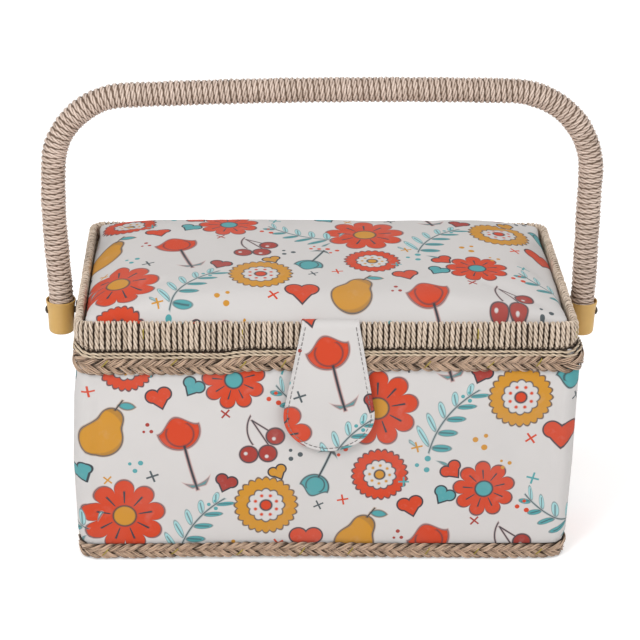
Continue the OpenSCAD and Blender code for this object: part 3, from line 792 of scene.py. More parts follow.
class Loop:
    """A rectangle with round corners, seen from above, walked from the middle of the back."""

    def __init__(self, x, y, r):
        self.x = x
        self.y = y
        self.r = r
        self.runs = [x - r, 2 * (y - r), 2 * (x - r), 2 * (y - r), x - r]
        self.bend = math.pi * r / 2
        self.length = sum(self.runs) + 4 * self.bend

    def at(self, s):
        """The points and outward directions at distances s along the loop, as arrays of x and y."""
        s = np.mod(np.asarray(s, float), self.length)
        stops = []
        walked = 0.0
        for place, run in enumerate(self.runs):
            stops.append((walked, run, False, place))
            walked += run
            if place < 4:
                stops.append((walked, self.bend, True, place))
                walked += self.bend
        point = np.zeros((len(s), 2))
        out = np.zeros((len(s), 2))
        corners = [(-1, 1), (-1, -1), (1, -1), (1, 1)]
        ahead = [(-1, 0), (0, -1), (1, 0), (0, 1), (-1, 0)]
        starts = [(0, self.y), (-self.x, self.y - self.r), (-self.x + self.r, -self.y),
            (self.x, -self.y + self.r), (self.x - self.r, self.y)]
        for begin, run, bend, place in stops:
            here = (s >= begin - 1e-12) & (s <= begin + run)
            t = s[here] - begin
            if bend:
                cx = corners[place][0] * (self.x - self.r)
                cy = corners[place][1] * (self.y - self.r)
                angle = math.pi / 2 * (place + 1) + t / self.r
                direction = np.stack([np.cos(angle), np.sin(angle)], 1)
                point[here] = np.array([cx, cy]) + self.r * direction
                out[here] = direction
            else:
                step = np.array(ahead[place])
                point[here] = np.array(starts[place]) + t[:, None] * step
                out[here] = np.array([step[1], -step[0]])
        return point, out

    def route(self, s, out, z, stands=None):
        """Points at distances s, moved out and up, with the directions ahead and outward there."""
        point, normal = self.at(s)
        out = np.broadcast_to(out, len(s))
        z = np.broadcast_to(z, len(s))
        if stands:
            out = out + stands(point, normal, z)
        place = np.column_stack([point + normal * out[:, None], z])
        outward = np.column_stack([normal, np.zeros(len(s))])
        ahead = np.column_stack([-normal[:, 1], normal[:, 0], np.zeros(len(s))])
        return place, ahead, outward


# How far the cloth stands out of its plain box, in millimetres, at some heights
STAND_Z = [0, 8, 16, 60, 100, 118, 130, 133.5]
STAND_LEFT = [0.3, 1.0, 3.4, 4.8, 3.4, 1.6, 0.8, 0.2]
STAND_RIGHT = [-0.8, 0.2, 2.4, 3.7, 4.0, 4.4, 3.6, 1.0]
STAND_LONG = [0, 0.4, 1.0, 1.5, 1.0, 0.4, 0.2, 0]


def belly(point, normal, z):
    """How far the wall stands out at a height: the cloth and its wadding bulge between the two braids."""
    height = z / MM
    side = np.clip(np.abs(normal[:, 0]) * 2, 0, 1)
    side = eased(side)
    left = np.interp(height, STAND_Z, STAND_LEFT)
    right = np.interp(height, STAND_Z, STAND_RIGHT)
    end = np.where(normal[:, 0] < 0, left, right)
    # High on the ends the cloth lies flat under the ferrules and stands out at the front corners only
    front = np.exp(-((point[:, 1] / MM + 70) / 30) ** 2)
    end = end * (1 - np.clip((height - 92) / 14, 0, 1) * (1 - front))
    return (np.interp(height, STAND_Z, STAND_LONG) * (1 - side) + end * side) * MM


def front_share(normal):
    """1 on the front, falling to 0 round its corners."""
    return np.clip(-normal[:, 1] * 2 - 1, 0, 1)


def left_share(point):
    """1 on the left of the front, where the lid's edge and its braid sit lower, and 0 on the right."""
    return eased(np.clip((-42 * MM - point[:, 0]) / (18 * MM), 0, 1))


def arch(point, normal):
    """How far the base's front edge is lifted off the table, left of its middle."""
    return 1.4 * MM * np.exp(-((point[:, 0] / MM + 30) / 70) ** 2) * front_share(normal)


def tubes(name, lines, radius, sides=6, closed=False, rises=None, sizes=None):
    """Round cords along many lines, as one mesh. rises gives each line's middle line, outward direction
    and reach, from which each point of the surface learns how high it stands in the cord."""
    data = bpy.data.curves.new(name, "CURVE")
    data.dimensions = "3D"
    data.bevel_depth = radius
    data.bevel_resolution = (sides - 4) // 2
    data.use_fill_caps = True
    for number, line in enumerate(lines):
        spline = data.splines.new("POLY")
        spline.points.add(len(line) - 1)
        spline.points.foreach_set("co", np.column_stack([line, np.ones(len(line))]).ravel())
        if sizes is not None:
            spline.points.foreach_set("radius", np.broadcast_to(sizes[number], len(line)).copy())
        spline.use_cyclic_u = closed
        spline.use_smooth = True
    curve = bpy.data.objects.new(name + "_line", data)
    bpy.context.scene.collection.objects.link(curve)
    graph = bpy.context.evaluated_depsgraph_get()
    mesh = bpy.data.meshes.new_from_object(curve.evaluated_get(graph))
    bpy.data.objects.remove(curve)
    mesh.name = name
    if rises:
        rings = sum(len(line) for line in lines)
        places = np.empty(len(mesh.vertices) * 3)
        mesh.vertices.foreach_get("co", places)
        places = places.reshape(-1, 3)
        caps = len(places) - rings * sides
        middle = np.repeat(np.vstack([rise[0] for rise in rises]), sides, axis=0)
        outward = np.repeat(np.vstack([rise[1] for rise in rises]), sides, axis=0)
        reach = np.repeat(np.concatenate([np.broadcast_to(rise[2], len(rise[0])) for rise in rises]), sides)
        values = np.zeros(len(places))
        values[caps:] = ((places[caps:] - middle) * outward).sum(1) / reach
        layer = mesh.attributes.new("rise", "FLOAT", "POINT")
        layer.data.foreach_set("value", values)
        # Each cord has a tone of its own, which changes slowly along it
        chance = random.Random(len(lines))
        tones = [chance.uniform(0.2, 0.8) + wobble(np.arange(len(line)), number, 70, 0.16)
            for number, line in enumerate(lines)]
        values[caps:] = np.repeat(np.concatenate(tones), sides)
        layer = mesh.attributes.new("tone", "FLOAT", "POINT")
        layer.data.foreach_set("value", values)
    thing = bpy.data.objects.new(name, mesh)
    bpy.context.scene.collection.objects.link(thing)
    return thing


def twisted(place, side, out, walked, lay, wide, deep, phase=0.0, plies=2):
    """The lines of a cord's plies, which turn about its own line once in each lay."""
    lines = []
    for ply in range(plies):
        angle = TAU * walked / lay + phase + TAU * ply / plies
        lines.append(place + side * (wide * np.cos(angle))[:, None] + out * (deep * np.sin(angle))[:, None])
    return lines


def wobble(s, seed, scale, size):
    """A smooth, seeded waver along a line."""
    waves = random.Random(seed)
    total = np.zeros(len(s))
    for octave in range(3):
        length = scale / (1 + octave * 0.83)
        total += np.sin(TAU * s / length + waves.uniform(0, TAU)) * size / (1 + octave)
    return total


def make_bed(name, low, high, out, body, slot, material, node, sink, cap=0):
    """A near-black strip behind open cords, painted shade that shows between them, carried inward over its
    top by a cap.
    """
    line = [(out - sink, low), (out, low + sink), (out, high - sink), (out - sink - cap, high)]
    bed = wrapped_cloth(name, 180, 6, line, Loop(BOX_X, BOX_Y, CORNER), belly)[0]
    finish_piece(bed, body, slot, material, node)


# Rim, seam cords, plaits and handle

def rim_section(ply, deep, points):
    """The line that one turn of cord takes round the rim: walked, height, depth, and which way it faces."""
    inset = ply + deep
    high = RIM_TOP - SEAM_Z - 2 * inset
    bend = RIM_T / 2 - inset
    straight = high - 2 * bend
    around = 2 * straight + TAU * bend
    path = np.linspace(0, around, points, endpoint=False)
    stops = [0, straight, straight + math.pi * bend, 2 * straight + math.pi * bend, around]
    angle = np.interp(path, stops, [0, 0, math.pi, math.pi, TAU])
    run = np.interp(path, stops, [-0.5, 0.5, 0.5, -0.5, -0.5])
    level = bend + straight / 2 + straight * run + bend * np.sin(angle)
    depth = bend - bend * np.cos(angle)
    return path, level, depth, np.cos(angle), np.sin(angle), around, high


def make_rim_cord(material):
    """The cord wound round the lid's rim, one turn beside the next."""
    ply = 0.66 * MM
    wide = 0.75 * MM
    deep = 0.56 * MM
    pitch = 3.07 * MM
    inset = ply + deep
    path, level, depth, outward, upward, around, high = rim_section(ply, deep, 36)
    loop = Loop(RIM_X, RIM_Y, 10 * MM)
    turns = round(loop.length / pitch)
    pitch = loop.length / turns
    chance = random.Random(5)
    lines = {"front": [], "left": [], "back": [], "right": []}
    rises = {side: [] for side in lines}
    sizes = {side: [] for side in lines}
    # The cord steps to the next turn on its way down the rim's hidden inner face
    advance = np.clip((path / around - 0.5) / 0.4, 0, 1)
    for turn in range(turns):
        shift = chance.gauss(0, 0.16 * MM)
        lean = (level / high - 0.5) * chance.gauss(0, 0.3 * MM)
        bow = np.sin(level / high * math.pi) * chance.gauss(0, 0.12 * MM)
        s = pitch * (turn + advance) + shift + lean + bow
        bulge = 0.7 * MM * np.sin(math.pi * level / high) * np.clip(outward, 0, 1)
        reach = bulge - inset - depth + chance.gauss(0, 0.06 * MM)
        place, ahead, out = loop.route(s, reach, SEAM_Z + inset + level)
        front = front_share(out)
        clear = np.clip((np.abs(place[:, 0] - 1.5 * MM) - 16 * MM) / (3 * MM), 0, 1)
        place[:, 2] += 0.9 * MM * front * clear * level / high
        hang = (1.7 + 1.8 * left_share(place)) * MM * front * np.clip(outward * 2, 0, 1)
        place[:, 2] -= hang * (1 - level / high)
        face = out * outward[:, None] + UP * upward[:, None]
        middle = place.mean(0)
        if abs(middle[1]) > RIM_Y - 8 * MM:
            side = "front" if middle[1] < 0 else "back"
        else:
            side = "left" if middle[0] < 0 else "right"
        closed = np.concatenate([path, [around]])
        place = np.vstack([place, place[:1] + ahead[:1] * pitch])
        ahead = np.vstack([ahead, ahead[:1]])
        face = np.vstack([face, face[:1]])
        found = twisted(place, ahead, face, closed, around / 3, wide, deep, chance.uniform(0, TAU), 3)
        size = 1 + chance.gauss(0, 0.05)
        for line in found:
            lines[side].append(line)
            rises[side].append((place, face, inset))
            sizes[side].append(size)
    for side, found in lines.items():
        thing = tubes("rim_cord_" + side, found, ply, rises=rises[side], sizes=sizes[side])
        finish_piece(thing, "lid", "pale_cord", material, "lid_rim_cord")


def make_seam_cords(material, dark):
    """Two thin twisted cords, one over the other, in the seam under the lid."""
    ply = 0.5 * MM
    swing = 0.42 * MM
    loop = Loop(BOX_X, BOX_Y, CORNER)
    s = np.linspace(0, loop.length, 2000, endpoint=False)
    point, normal = loop.at(s)
    drop = (1.45 + 1.7 * left_share(point)) * MM * front_share(normal)
    middle = (seam_low.z + seam_high.z) / 2 + 0.25 * MM - drop
    for name, side in (("upper", 1), ("lower", -1)):
        z = middle + side * 0.95 * MM + wobble(s, 3 + side, 31 * MM, 0.1 * MM)
        out = ply + swing + 0.75 * MM + wobble(s, 9 + side, 47 * MM, 0.15 * MM)
        place, _, outward = loop.route(s, out, z, belly)
        up = np.tile(UP, (len(s), 1))
        lays = round(loop.length / (7.4 * MM))
        lines = twisted(place, up, outward, s, loop.length / lays, swing, swing)
        thing = tubes("seam_cord_" + name, lines, ply, closed=True,
            rises=[(place, outward, ply + swing)] * 2)
        finish_piece(thing, "box", "pale_cord", material, "seam_cord")
    # A near-black strip behind the two cords shows between them as painted shade.
    make_bed("seam_bed", seam_low.z, seam_high.z - 0.04 * MM, 0.4 * MM, "box", "pale_cord", dark,
        "seam_cord", 0.12 * MM, 3 * MM)


def make_plait(name, low, high, material, dark, node, seed):
    """A flat five-strand plait round the box, each strand a ribbon of thin straws side by side."""
    strands = 5
    straws = 3
    straw = 0.45 * MM
    gap = 0.88 * MM
    thick = 2.6 * MM
    reach = ((high - low) / 2 - straw - gap * (straws - 1) / 2 * 0.9) / 1.11
    lift = 0.72 * MM
    loop = Loop(BOX_X, BOX_Y, CORNER)
    plaits = round(loop.length / (27 * MM))
    period = loop.length / plaits
    s = np.linspace(0, loop.length, plaits * 28, endpoint=False)
    point, normal = loop.at(s)
    sunk = -2.3 * MM * left_share(point) * front_share(normal)
    raised = arch(point, normal) if node == "base_braid" else sunk
    chance = random.Random(seed)
    lines = []
    rises = []
    sizes = []
    for strand in range(strands):
        angle = TAU * (s / period + strand / strands) + wobble(s, seed + strand, 83 * MM, 0.16)
        waver = wobble(s, seed + strand, 61 * MM, 0.12 * MM)
        z = (low + high) / 2 + reach * (np.sin(angle) - np.sin(3 * angle) / 9) + waver + raised
        slope = reach * TAU / period * (np.cos(angle) - np.cos(3 * angle) / 3)
        over = thick / 2 + lift * np.sin(2 * angle)
        tilt = 1 / np.sqrt(1 + slope * slope)
        for k in range(straws):
            row = k - (straws - 1) / 2
            offset = row * gap * (1 + 0.1 * np.sin(angle * 2 + k))
            offset = offset + wobble(s, seed + 7 * k, 43 * MM, 0.07 * MM)
            bulge = 0.15 * MM * math.cos(row * 0.9) + wobble(s, seed + 11 * k + strand, 15 * MM, 0.15 * MM)
            along = s - offset * slope * tilt
            height = z + offset * tilt
            place, _, outward = loop.route(along, over + bulge, height, belly)
            middle, _, _ = loop.route(along, thick / 2, height, belly)
            lines.append(place)
            rises.append((middle, outward, lift + straw))
            sizes.append(chance.uniform(0.76, 1.2) + wobble(s, seed + 5 * k, 37 * MM, 0.07))
    thing = tubes(name, lines, straw, closed=True, rises=rises, sizes=sizes)
    finish_piece(thing, "box", "braid", material, node)
    # A near-black strip behind the straws shows between them as painted shade.
    make_bed(name + "_bed", low + 1.7 * MM, high - 0.3 * MM, 0.5 * MM, "box", "braid", dark, node, 0.3 * MM)


def make_staples(name, body, slot, material, places, half, thick):
    """Small wire staples pressed into the cord. places gives each one's middle, direction and outward."""
    lines = []
    for middle, along, outward in places:
        share = np.array([-1.0, -0.96, -0.8, 0.0, 0.8, 0.96, 1.0])
        dip = np.array([1.6, 0.5, 0.05, -0.12, 0.05, 0.5, 1.6]) * MM
        lines.append(middle + along * (share * half)[:, None] - outward * dip[:, None])
    thing = tubes(name, lines, thick)
    finish_piece(thing, body, slot, material)


def staple_all(material):
    """Staples in the rim, upright, and in the two plaits, aslant."""
    chance = random.Random(77)
    rim = Loop(RIM_X, RIM_Y, 10 * MM)
    places = []
    for number in range(14):
        s = np.array([rim.length * (number + 0.35 + chance.uniform(-0.12, 0.12)) / 14])
        point, _, outward = rim.route(s, 0.05 * MM, (SEAM_Z + RIM_TOP) / 2 + chance.uniform(-0.8, 1.4) * MM)
        places.append((point[0], UP, outward[0]))
    make_staples("rim_staples", "lid", "hinge_metal", material, places, 3.1 * MM, 0.42 * MM)
    box = Loop(BOX_X, BOX_Y, CORNER)
    for name, low, high in (("top", top_braid_low.z, top_braid_high.z),
            ("base", base_braid_low.z, base_braid_high.z)):
        places = []
        for number in range(24):
            s = np.array([box.length * (number + 0.5 + chance.uniform(-0.2, 0.2)) / 24])
            height = (low + high) / 2 + chance.uniform(-0.8, 0.8) * MM
            point, ahead, outward = box.route(s, 2.62 * MM, height, belly)
            slant = math.radians(chance.uniform(38, 60))
            places.append((point[0], ahead[0] * math.cos(slant) + UP * math.sin(slant), outward[0]))
        make_staples(name + "_braid_staples", "box", "hinge_metal", material, places, 2.6 * MM, 0.36 * MM)


# Each side of the handle, in millimetres: which side, how far out of its mark the arm stands, how far
# it bows, the radius of its bend, how far its peak is from the top, and how high the foot's pull reaches
HANDLE_SIDES = [
    (-1, -1.9, 4.8, 38, -3.9, 45),
    (1, 0.9, -0.4, 49, -0.1, 20),
]


class Bail:
    """The handle's own line: up one arm, round a bend, along the bar and down again, a little uneven."""

    def __init__(self):
        half_cord = 7.1 * MM
        arm = (cord_high.x - cord_low.x) / 2 - half_cord
        top = cord_high.z - half_cord
        foot = cord_low.z
        share = np.linspace(0, 1, 500)
        turn = share * math.pi / 2
        parts = []
        ends = []
        for side, stands, bows, radius, rises, pulls in HANDLE_SIDES:
            reach = arm + stands * MM
            bow = bows * MM
            bend = radius * MM
            peak = top + rises * MM
            pull = pulls * MM
            straight = foot + (peak - bend - foot) * share
            x = np.concatenate([np.full(500, reach), reach - bend + bend * np.cos(turn)])
            z = np.concatenate([straight, peak - bend + bend * np.sin(turn)])
            lean = np.concatenate([np.ones(500), np.cos(turn)])
            x = x + bow * np.sin(math.pi * (z - foot) / (peak - foot)) * lean
            x = x + (arm - reach) * np.clip(1 - (z - foot) / pull, 0, 1) ** 2
            parts.append(np.column_stack([side * x, z]))
            ends.append((side * (reach - bend), peak))
        bar = np.column_stack([ends[0][0] + (ends[1][0] - ends[0][0]) * share,
            ends[0][1] + (ends[1][1] - ends[0][1]) * share + 1.8 * MM * 4 * share * (1 - share)])
        line = np.vstack([parts[0], bar[1:-1], parts[1][::-1]])
        steps = np.hypot(*np.diff(line, axis=0).T)
        line = line[np.concatenate([[True], steps > 1e-7])]
        self.walked = walk(line)
        self.line = line
        self.length = self.walked[-1]

    def at(self, s):
        """Points, directions and sideways directions at distances s."""
        step = 2 * MM
        near = [np.column_stack([np.interp(s + d, self.walked, self.line[:, k]) for k in (0, 1)])
            for d in (-step, 0, step)]
        flat = (near[0] + near[1] + near[2]) / 3
        along = near[2] - near[0]
        along /= np.hypot(*along.T)[:, None]
        zero = np.zeros(len(s))
        point = np.column_stack([flat[:, 0], zero, flat[:, 1]])
        ahead = np.column_stack([along[:, 0], zero, along[:, 1]])
        side = np.cross(ahead, [0.0, 1.0, 0.0])
        return point, ahead, side


def make_handle(material, core_material):
    """The cord wound round the handle, in two runs, and the darker core skin that shows between its turns as
    painted shade.
    """
    ply = 0.67 * MM
    wide = 0.82 * MM
    deep = 0.52 * MM
    turns = 170
    bail = Bail()
    thick = 7.38 * MM
    radius = thick - ply - deep
    per_turn = 34
    s = np.linspace(0, bail.length, turns * per_turn)
    point, ahead, side = bail.at(s)
    spin = -TAU * turns * s / bail.length
    face = side * np.cos(spin)[:, None] + np.array([0, 1, 0]) * np.sin(spin)[:, None]
    jitter = wobble(s, 21, 37 * MM, 0.12 * MM) + wobble(s, 25, 5.3 * MM, 0.08 * MM)
    place = point + face * (radius + wobble(s, 22, 29 * MM, 0.1 * MM))[:, None] + ahead * jitter[:, None]
    walked = np.arange(len(s)) * (TAU * radius / per_turn) + wobble(s, 33, 23 * MM, 2.6 * MM)
    lay = TAU * radius / 2.9
    lines = twisted(place, ahead, face, walked, lay, wide, deep, 0, 3)
    half = len(s) // 2
    for name, begin, end in (("left", 0, half + 1), ("right", half, len(s))):
        run = slice(begin, end)
        thing = tubes("handle_winding_" + name, [line[run] for line in lines], ply,
            rises=[(place[run], face[run], ply + deep)] * 3)
        finish_piece(thing, "handle", "handle_cord", material, "handle_cord")
    # The core's skin is coloured as painted shade between the turns.
    s = np.linspace(0, bail.length, 160)
    core = tubes("handle_shade_core", [bail.at(s)[0]], radius + 0.2 * MM, sides=24)
    finish_piece(core, "handle", "handle_cord", core_material, "handle_cord", "handle_rod")


def make_ferrules(material):
    """Moulded cups, nearly straight below, that flare to a rounded, thin-lipped mouth."""
    low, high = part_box("ferrule_right")
    tall = high.z - low.z
    centre = (low.x + high.x) / 2
    mouth = (high.x - low.x) / 2 + 0.3 * MM
    foot = 7.45 * MM
    inner = 7.7 * MM
    profile = [(0.0, 0.0), (foot - 2.2 * MM, 0.0), (foot - 0.9 * MM, 0.25 * MM), (foot - 0.15 * MM, 1.1 * MM),
        (foot, 2.4 * MM), (foot + 0.25 * MM, tall - 9 * MM), (foot + 0.55 * MM, tall - 5.5 * MM),
        (mouth - 0.45 * MM, tall - 2.6 * MM), (mouth - 0.08 * MM, tall - 1.1 * MM), (mouth, tall - 0.5 * MM),
        (mouth - 0.15 * MM, tall - 0.08 * MM), (mouth - 0.45 * MM, tall),
        (mouth - 0.75 * MM, tall - 0.2 * MM),
        (inner + 0.1 * MM, tall - 1.6 * MM), (inner - 0.1 * MM, tall - 4 * MM), (0.0, tall - 4 * MM)]
    for name, side in (("ferrule_right", 1), ("ferrule_left", -1)):
        mesh = turned([(r, 0, z) for r, z in profile], (0, 0, 1), 48)
        bmesh.ops.translate(mesh, verts=mesh.verts, vec=(centre * side, 0, low.z))
        cup = new_object(name + "_cup", mesh)
        modify(cup, "SUBSURF", levels=1, render_levels=1)
        finish_piece(cup, "handle", "ferrule", material, name)


def make_rivets(material):
    """A small dome outside each ferrule, on a shank through the ferrule, the washer and the wall."""
    pivot = 122.5 * MM
    shank = 1.9 * MM
    inner_end = 134.2 * MM
    head = 160.2 * MM
    dome_foot = 160.6 * MM
    dome = 2.5 * MM
    crown = 1.75 * MM
    steps = [math.radians(15 * k) for k in range(7)]
    profile = [(inner_end, 0.0), (inner_end, shank), (head, shank), (head, dome)]
    profile += [(dome_foot + crown * math.sin(t), dome * math.cos(t)) for t in steps]
    for side in ("left", "right"):
        sign = 1 if side == "right" else -1
        mesh = turned([(x * sign, 0, r) for x, r in profile], (1, 0, 0), 32)
        bmesh.ops.translate(mesh, verts=mesh.verts, vec=(0, 0, pivot))
        thing = new_object("rivet_dome_" + side, mesh)
        thing.data.set_sharp_from_angle(angle=math.radians(50))
        finish_piece(thing, "rivets", "rivet_metal", material, "rivet_" + side)


# Cloth

def wrapped_cloth(name, columns, rows, line, loop, stands):
    """A cloth carried round the box along a line of (out, height) points. Returns it and its flat size."""
    line = np.array(line)
    walked = walk(line)
    mesh = bmesh.new()
    bmesh.ops.create_grid(mesh, x_segments=columns, y_segments=rows, size=1)
    layer = mesh.loops.layers.uv.new("UVMap")
    mesh.verts.index_update()
    flat = (np.array([vert.co for vert in mesh.verts]) + 1) / 2
    along = flat[:, 0] * loop.length
    up = flat[:, 1] * walked[-1]
    point, normal = loop.at(np.minimum(along, loop.length - 1e-9))
    z = np.interp(up, walked, line[:, 1])
    move = np.interp(up, walked, line[:, 0]) + stands(point, normal, z)
    place = np.column_stack([point + normal * move[:, None], z])
    for face in mesh.faces:
        for corner in face.loops:
            k = corner.vert.index
            corner[layer].uv = (along[k] / MM, up[k] / MM)
    for vert, spot in zip(mesh.verts, place):
        vert.co = spot
    bmesh.ops.remove_doubles(mesh, verts=mesh.verts, dist=1e-6)
    mesh.faces.ensure_lookup_table()
    face = mesh.faces[len(mesh.faces) // 2]
    if face.normal.dot(Vector((*face.calc_center_median().xy, 0))) < 0:
        bmesh.ops.reverse_faces(mesh, faces=mesh.faces)
    return new_object(name, mesh), (loop.length, walked[-1])


def rounded_line(corners, r, steps=5):
    """A line of (out, height) points through some corners, each rounded by up to a radius."""
    points = [np.array(corners[0], float)]
    for before, here, after in zip(corners, corners[1:], corners[2:]):
        here = np.array(here, float)
        back = np.array(before) - here
        on = np.array(after) - here
        cut = min(r, np.linalg.norm(back) * 0.45, np.linalg.norm(on) * 0.45)
        first = here + back / np.linalg.norm(back) * cut
        last = here + on / np.linalg.norm(on) * cut
        for t in np.linspace(0, 1, steps):
            points.append((1 - t) ** 2 * first + 2 * t * (1 - t) * here + t * t * last)
    points.append(np.array(corners[-1], float))
    return points


def dented_belly(point, normal, z):
    """The wall's bulge with small soft dents in it."""
    dents = np.array([noise.noise(Vector((x * 24, y * 24, h * 18))) for (x, y), h in zip(point, z)])
    share = np.clip((z - cover_low.z) / (SEAM_Z - cover_low.z), 0, 1)
    # The dents are shallower on the ends, which the handle passes
    deep = (0.4 - 0.25 * np.abs(normal[:, 0])) * MM
    return belly(point, normal, z) + dents * deep * 4 * share * (1 - share)


def make_cover(material):
    """The printed cloth over the box's walls, turned over their top edge."""
    hem = 4.5 * MM
    foot = cover_low.z + 1.1 * MM
    top = SEAM_Z - 0.35 * MM
    line = rounded_line([(-1.2 * MM, foot), (0, foot + 0.2 * MM), (0, top), (-hem, top)], 0.8 * MM)
    cloth, flat = wrapped_cloth("cover_cloth", 420, 76, line, Loop(BOX_X, BOX_Y, CORNER), dented_belly)
    modify(cloth, "SOLIDIFY", thickness=0.7 * MM, offset=-1)
    finish_piece(cloth, "box", "cover_cloth", material, "outer_cover")


def make_wall_lining(material, thread):
    """The plain cloth inside the walls, tucked under the floor pad and turned over the top edge."""
    low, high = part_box("wall_lining")
    inner = 5.5 * MM

    def slack(point, normal, z):
        share = np.clip((z - low.z) / (high.z - low.z), 0, 1)
        folds = np.array([noise.noise(Vector((x * 30, y * 30, h * 6))) for (x, y), h in zip(point, z)])
        return -(0.8 * folds + 0.5) * MM * 4 * share * (1 - share)

    loop = Loop(BOX_X - inner, BOX_Y - inner, CORNER - inner)
    line = rounded_line([(-1.5 * MM, low.z + 0.1 * MM), (0, low.z + 0.1 * MM), (0, high.z - 0.1 * MM),
        (0.9 * MM, high.z - 0.1 * MM)], 0.5 * MM)
    cloth, flat = wrapped_cloth("wall_lining_cloth", 260, 44, line, loop, slack)
    modify(cloth, "SOLIDIFY", thickness=0.6 * MM, offset=1)
    finish_piece(cloth, "box", "lining_cloth", material, "wall_lining")
    dashes = []
    count = 3 * round(loop.length / (3 * 3.2 * MM))
    for k in range(count):
        s = (k + np.array([0.1, 0.3, 0.5, 0.7])) * loop.length / count
        line_out = np.array([-0.05, -0.3, -0.3, -0.05]) * MM
        dashes.append(loop.route(s, line_out - 0.4 * MM, high.z - 7 * MM)[0])
    seam = tubes("lining_seam_stitches", dashes, 0.2 * MM, sides=4)
    finish_piece(seam, "box", "lining_cloth", thread)


def flat_grid(x, y, r, z, step):
    """A flat sheet with round corners, as a bmesh, and its points."""
    mesh = bmesh.new()
    bmesh.ops.create_grid(mesh, x_segments=round(2 * x / step), y_segments=round(2 * y / step), size=1)
    places = []
    for vert in mesh.verts:
        px, py = vert.co.x * x, vert.co.y * y
        cx, cy = max(abs(px) - (x - r), 0), max(abs(py) - (y - r), 0)
        if cx > 0 and cy > 0:
            square = max(cx, cy)
            scale = square / math.hypot(cx, cy)
            px = math.copysign(x - r + cx * scale, px)
            py = math.copysign(y - r + cy * scale, py)
        vert.co = (px, py, z)
        places.append((px, py))
    return mesh, np.array(places)


def edge_gap(places, x, y):
    """How far each point is from the nearest straight edge."""
    return np.minimum(x - np.abs(places[:, 0]), y - np.abs(places[:, 1]))


def make_base_cloth(material):
    """The coarse cloth under the base, its edge drawn up into the braid."""
    low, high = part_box("base_cloth")
    mesh, places = flat_grid(high.x, high.y, 7 * MM, low.z, 3 * MM)
    gap = edge_gap(places, high.x, high.y)
    for vert, g in zip(mesh.verts, gap):
        ripple = noise.noise(Vector((vert.co.x * 60, vert.co.y * 60, 1))) * 0.15 * MM
        vert.co.z = low.z + 0.15 * MM + ripple + 0.6 * MM * max(0, 1 - g / (1.5 * MM))
    cloth = new_object("base_cloth_sheet", mesh)
    modify(cloth, "SOLIDIFY", thickness=0.5 * MM, offset=1)
    finish_piece(cloth, "box", "base_cloth", material, "base_cloth")


def padded_plate(name, low, high, r, crown, step, waver):
    """A closed, thin pad: a crowned top over a flat foot, its edge rolled under."""
    x, y = high.x, high.y
    mesh, places = flat_grid(x, y, r, low.z, step)
    gap = np.maximum(edge_gap(places, x, y), 0)
    tall = high.z - low.z
    roll = np.sqrt(np.clip(1 - (1 - np.clip(gap / (1.6 * tall), 0, 1)) ** 2, 0, 1))
    top = low.z + 0.2 * MM + (tall - 0.2 * MM) * roll
    top += crown * (1 - np.abs(places[:, 0] / x) ** 4) * (1 - np.abs(places[:, 1] / y) ** 4)
    for vert, (px, py), z in zip(mesh.verts, places, top):
        vert.co = (px, py, z + noise.noise(Vector((px * 26, py * 26, 3))) * waver)
    made = bmesh.ops.extrude_edge_only(mesh, edges=open_edges(mesh))["geom"]
    for vert in made:
        if isinstance(vert, bmesh.types.BMVert):
            vert.co.z = low.z
    rim = [g for g in made if isinstance(g, bmesh.types.BMEdge) and g.is_boundary]
    bmesh.ops.contextual_create(mesh, geom=rim)
    bmesh.ops.recalc_face_normals(mesh, faces=mesh.faces)
    return new_object(name, mesh)


def make_floor_pad(material):
    """The thin padded floor."""
    low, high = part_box("floor_pad")
    pad = padded_plate("floor_pad_cloth", low, high, 3.5 * MM, 1.2 * MM, 3.2 * MM, 0.5 * MM)
    finish_piece(pad, "box", "lining_cloth", material, "floor_pad")


def make_lid_lining(material):
    """The plain cloth under the lid, drawn over its board."""
    low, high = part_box("lid_lining")
    mesh, places = flat_grid(high.x, high.y, 5.3 * MM, low.z, 3.2 * MM)
    gap = edge_gap(places, high.x, high.y)
    for vert, g in zip(mesh.verts, gap):
        ripple = noise.noise(Vector((vert.co.x * 45, vert.co.y * 45, 5))) * 0.16 * MM
        vert.co.z = low.z + 0.25 * MM + ripple + 0.6 * MM * max(0, 1 - g / (2.2 * MM)) ** 2
    cloth = new_object("lid_lining_cloth", mesh)
    modify(cloth, "SOLIDIFY", thickness=0.5 * MM, offset=1)
    finish_piece(cloth, "lid", "lining_cloth", material, "lid_lining")


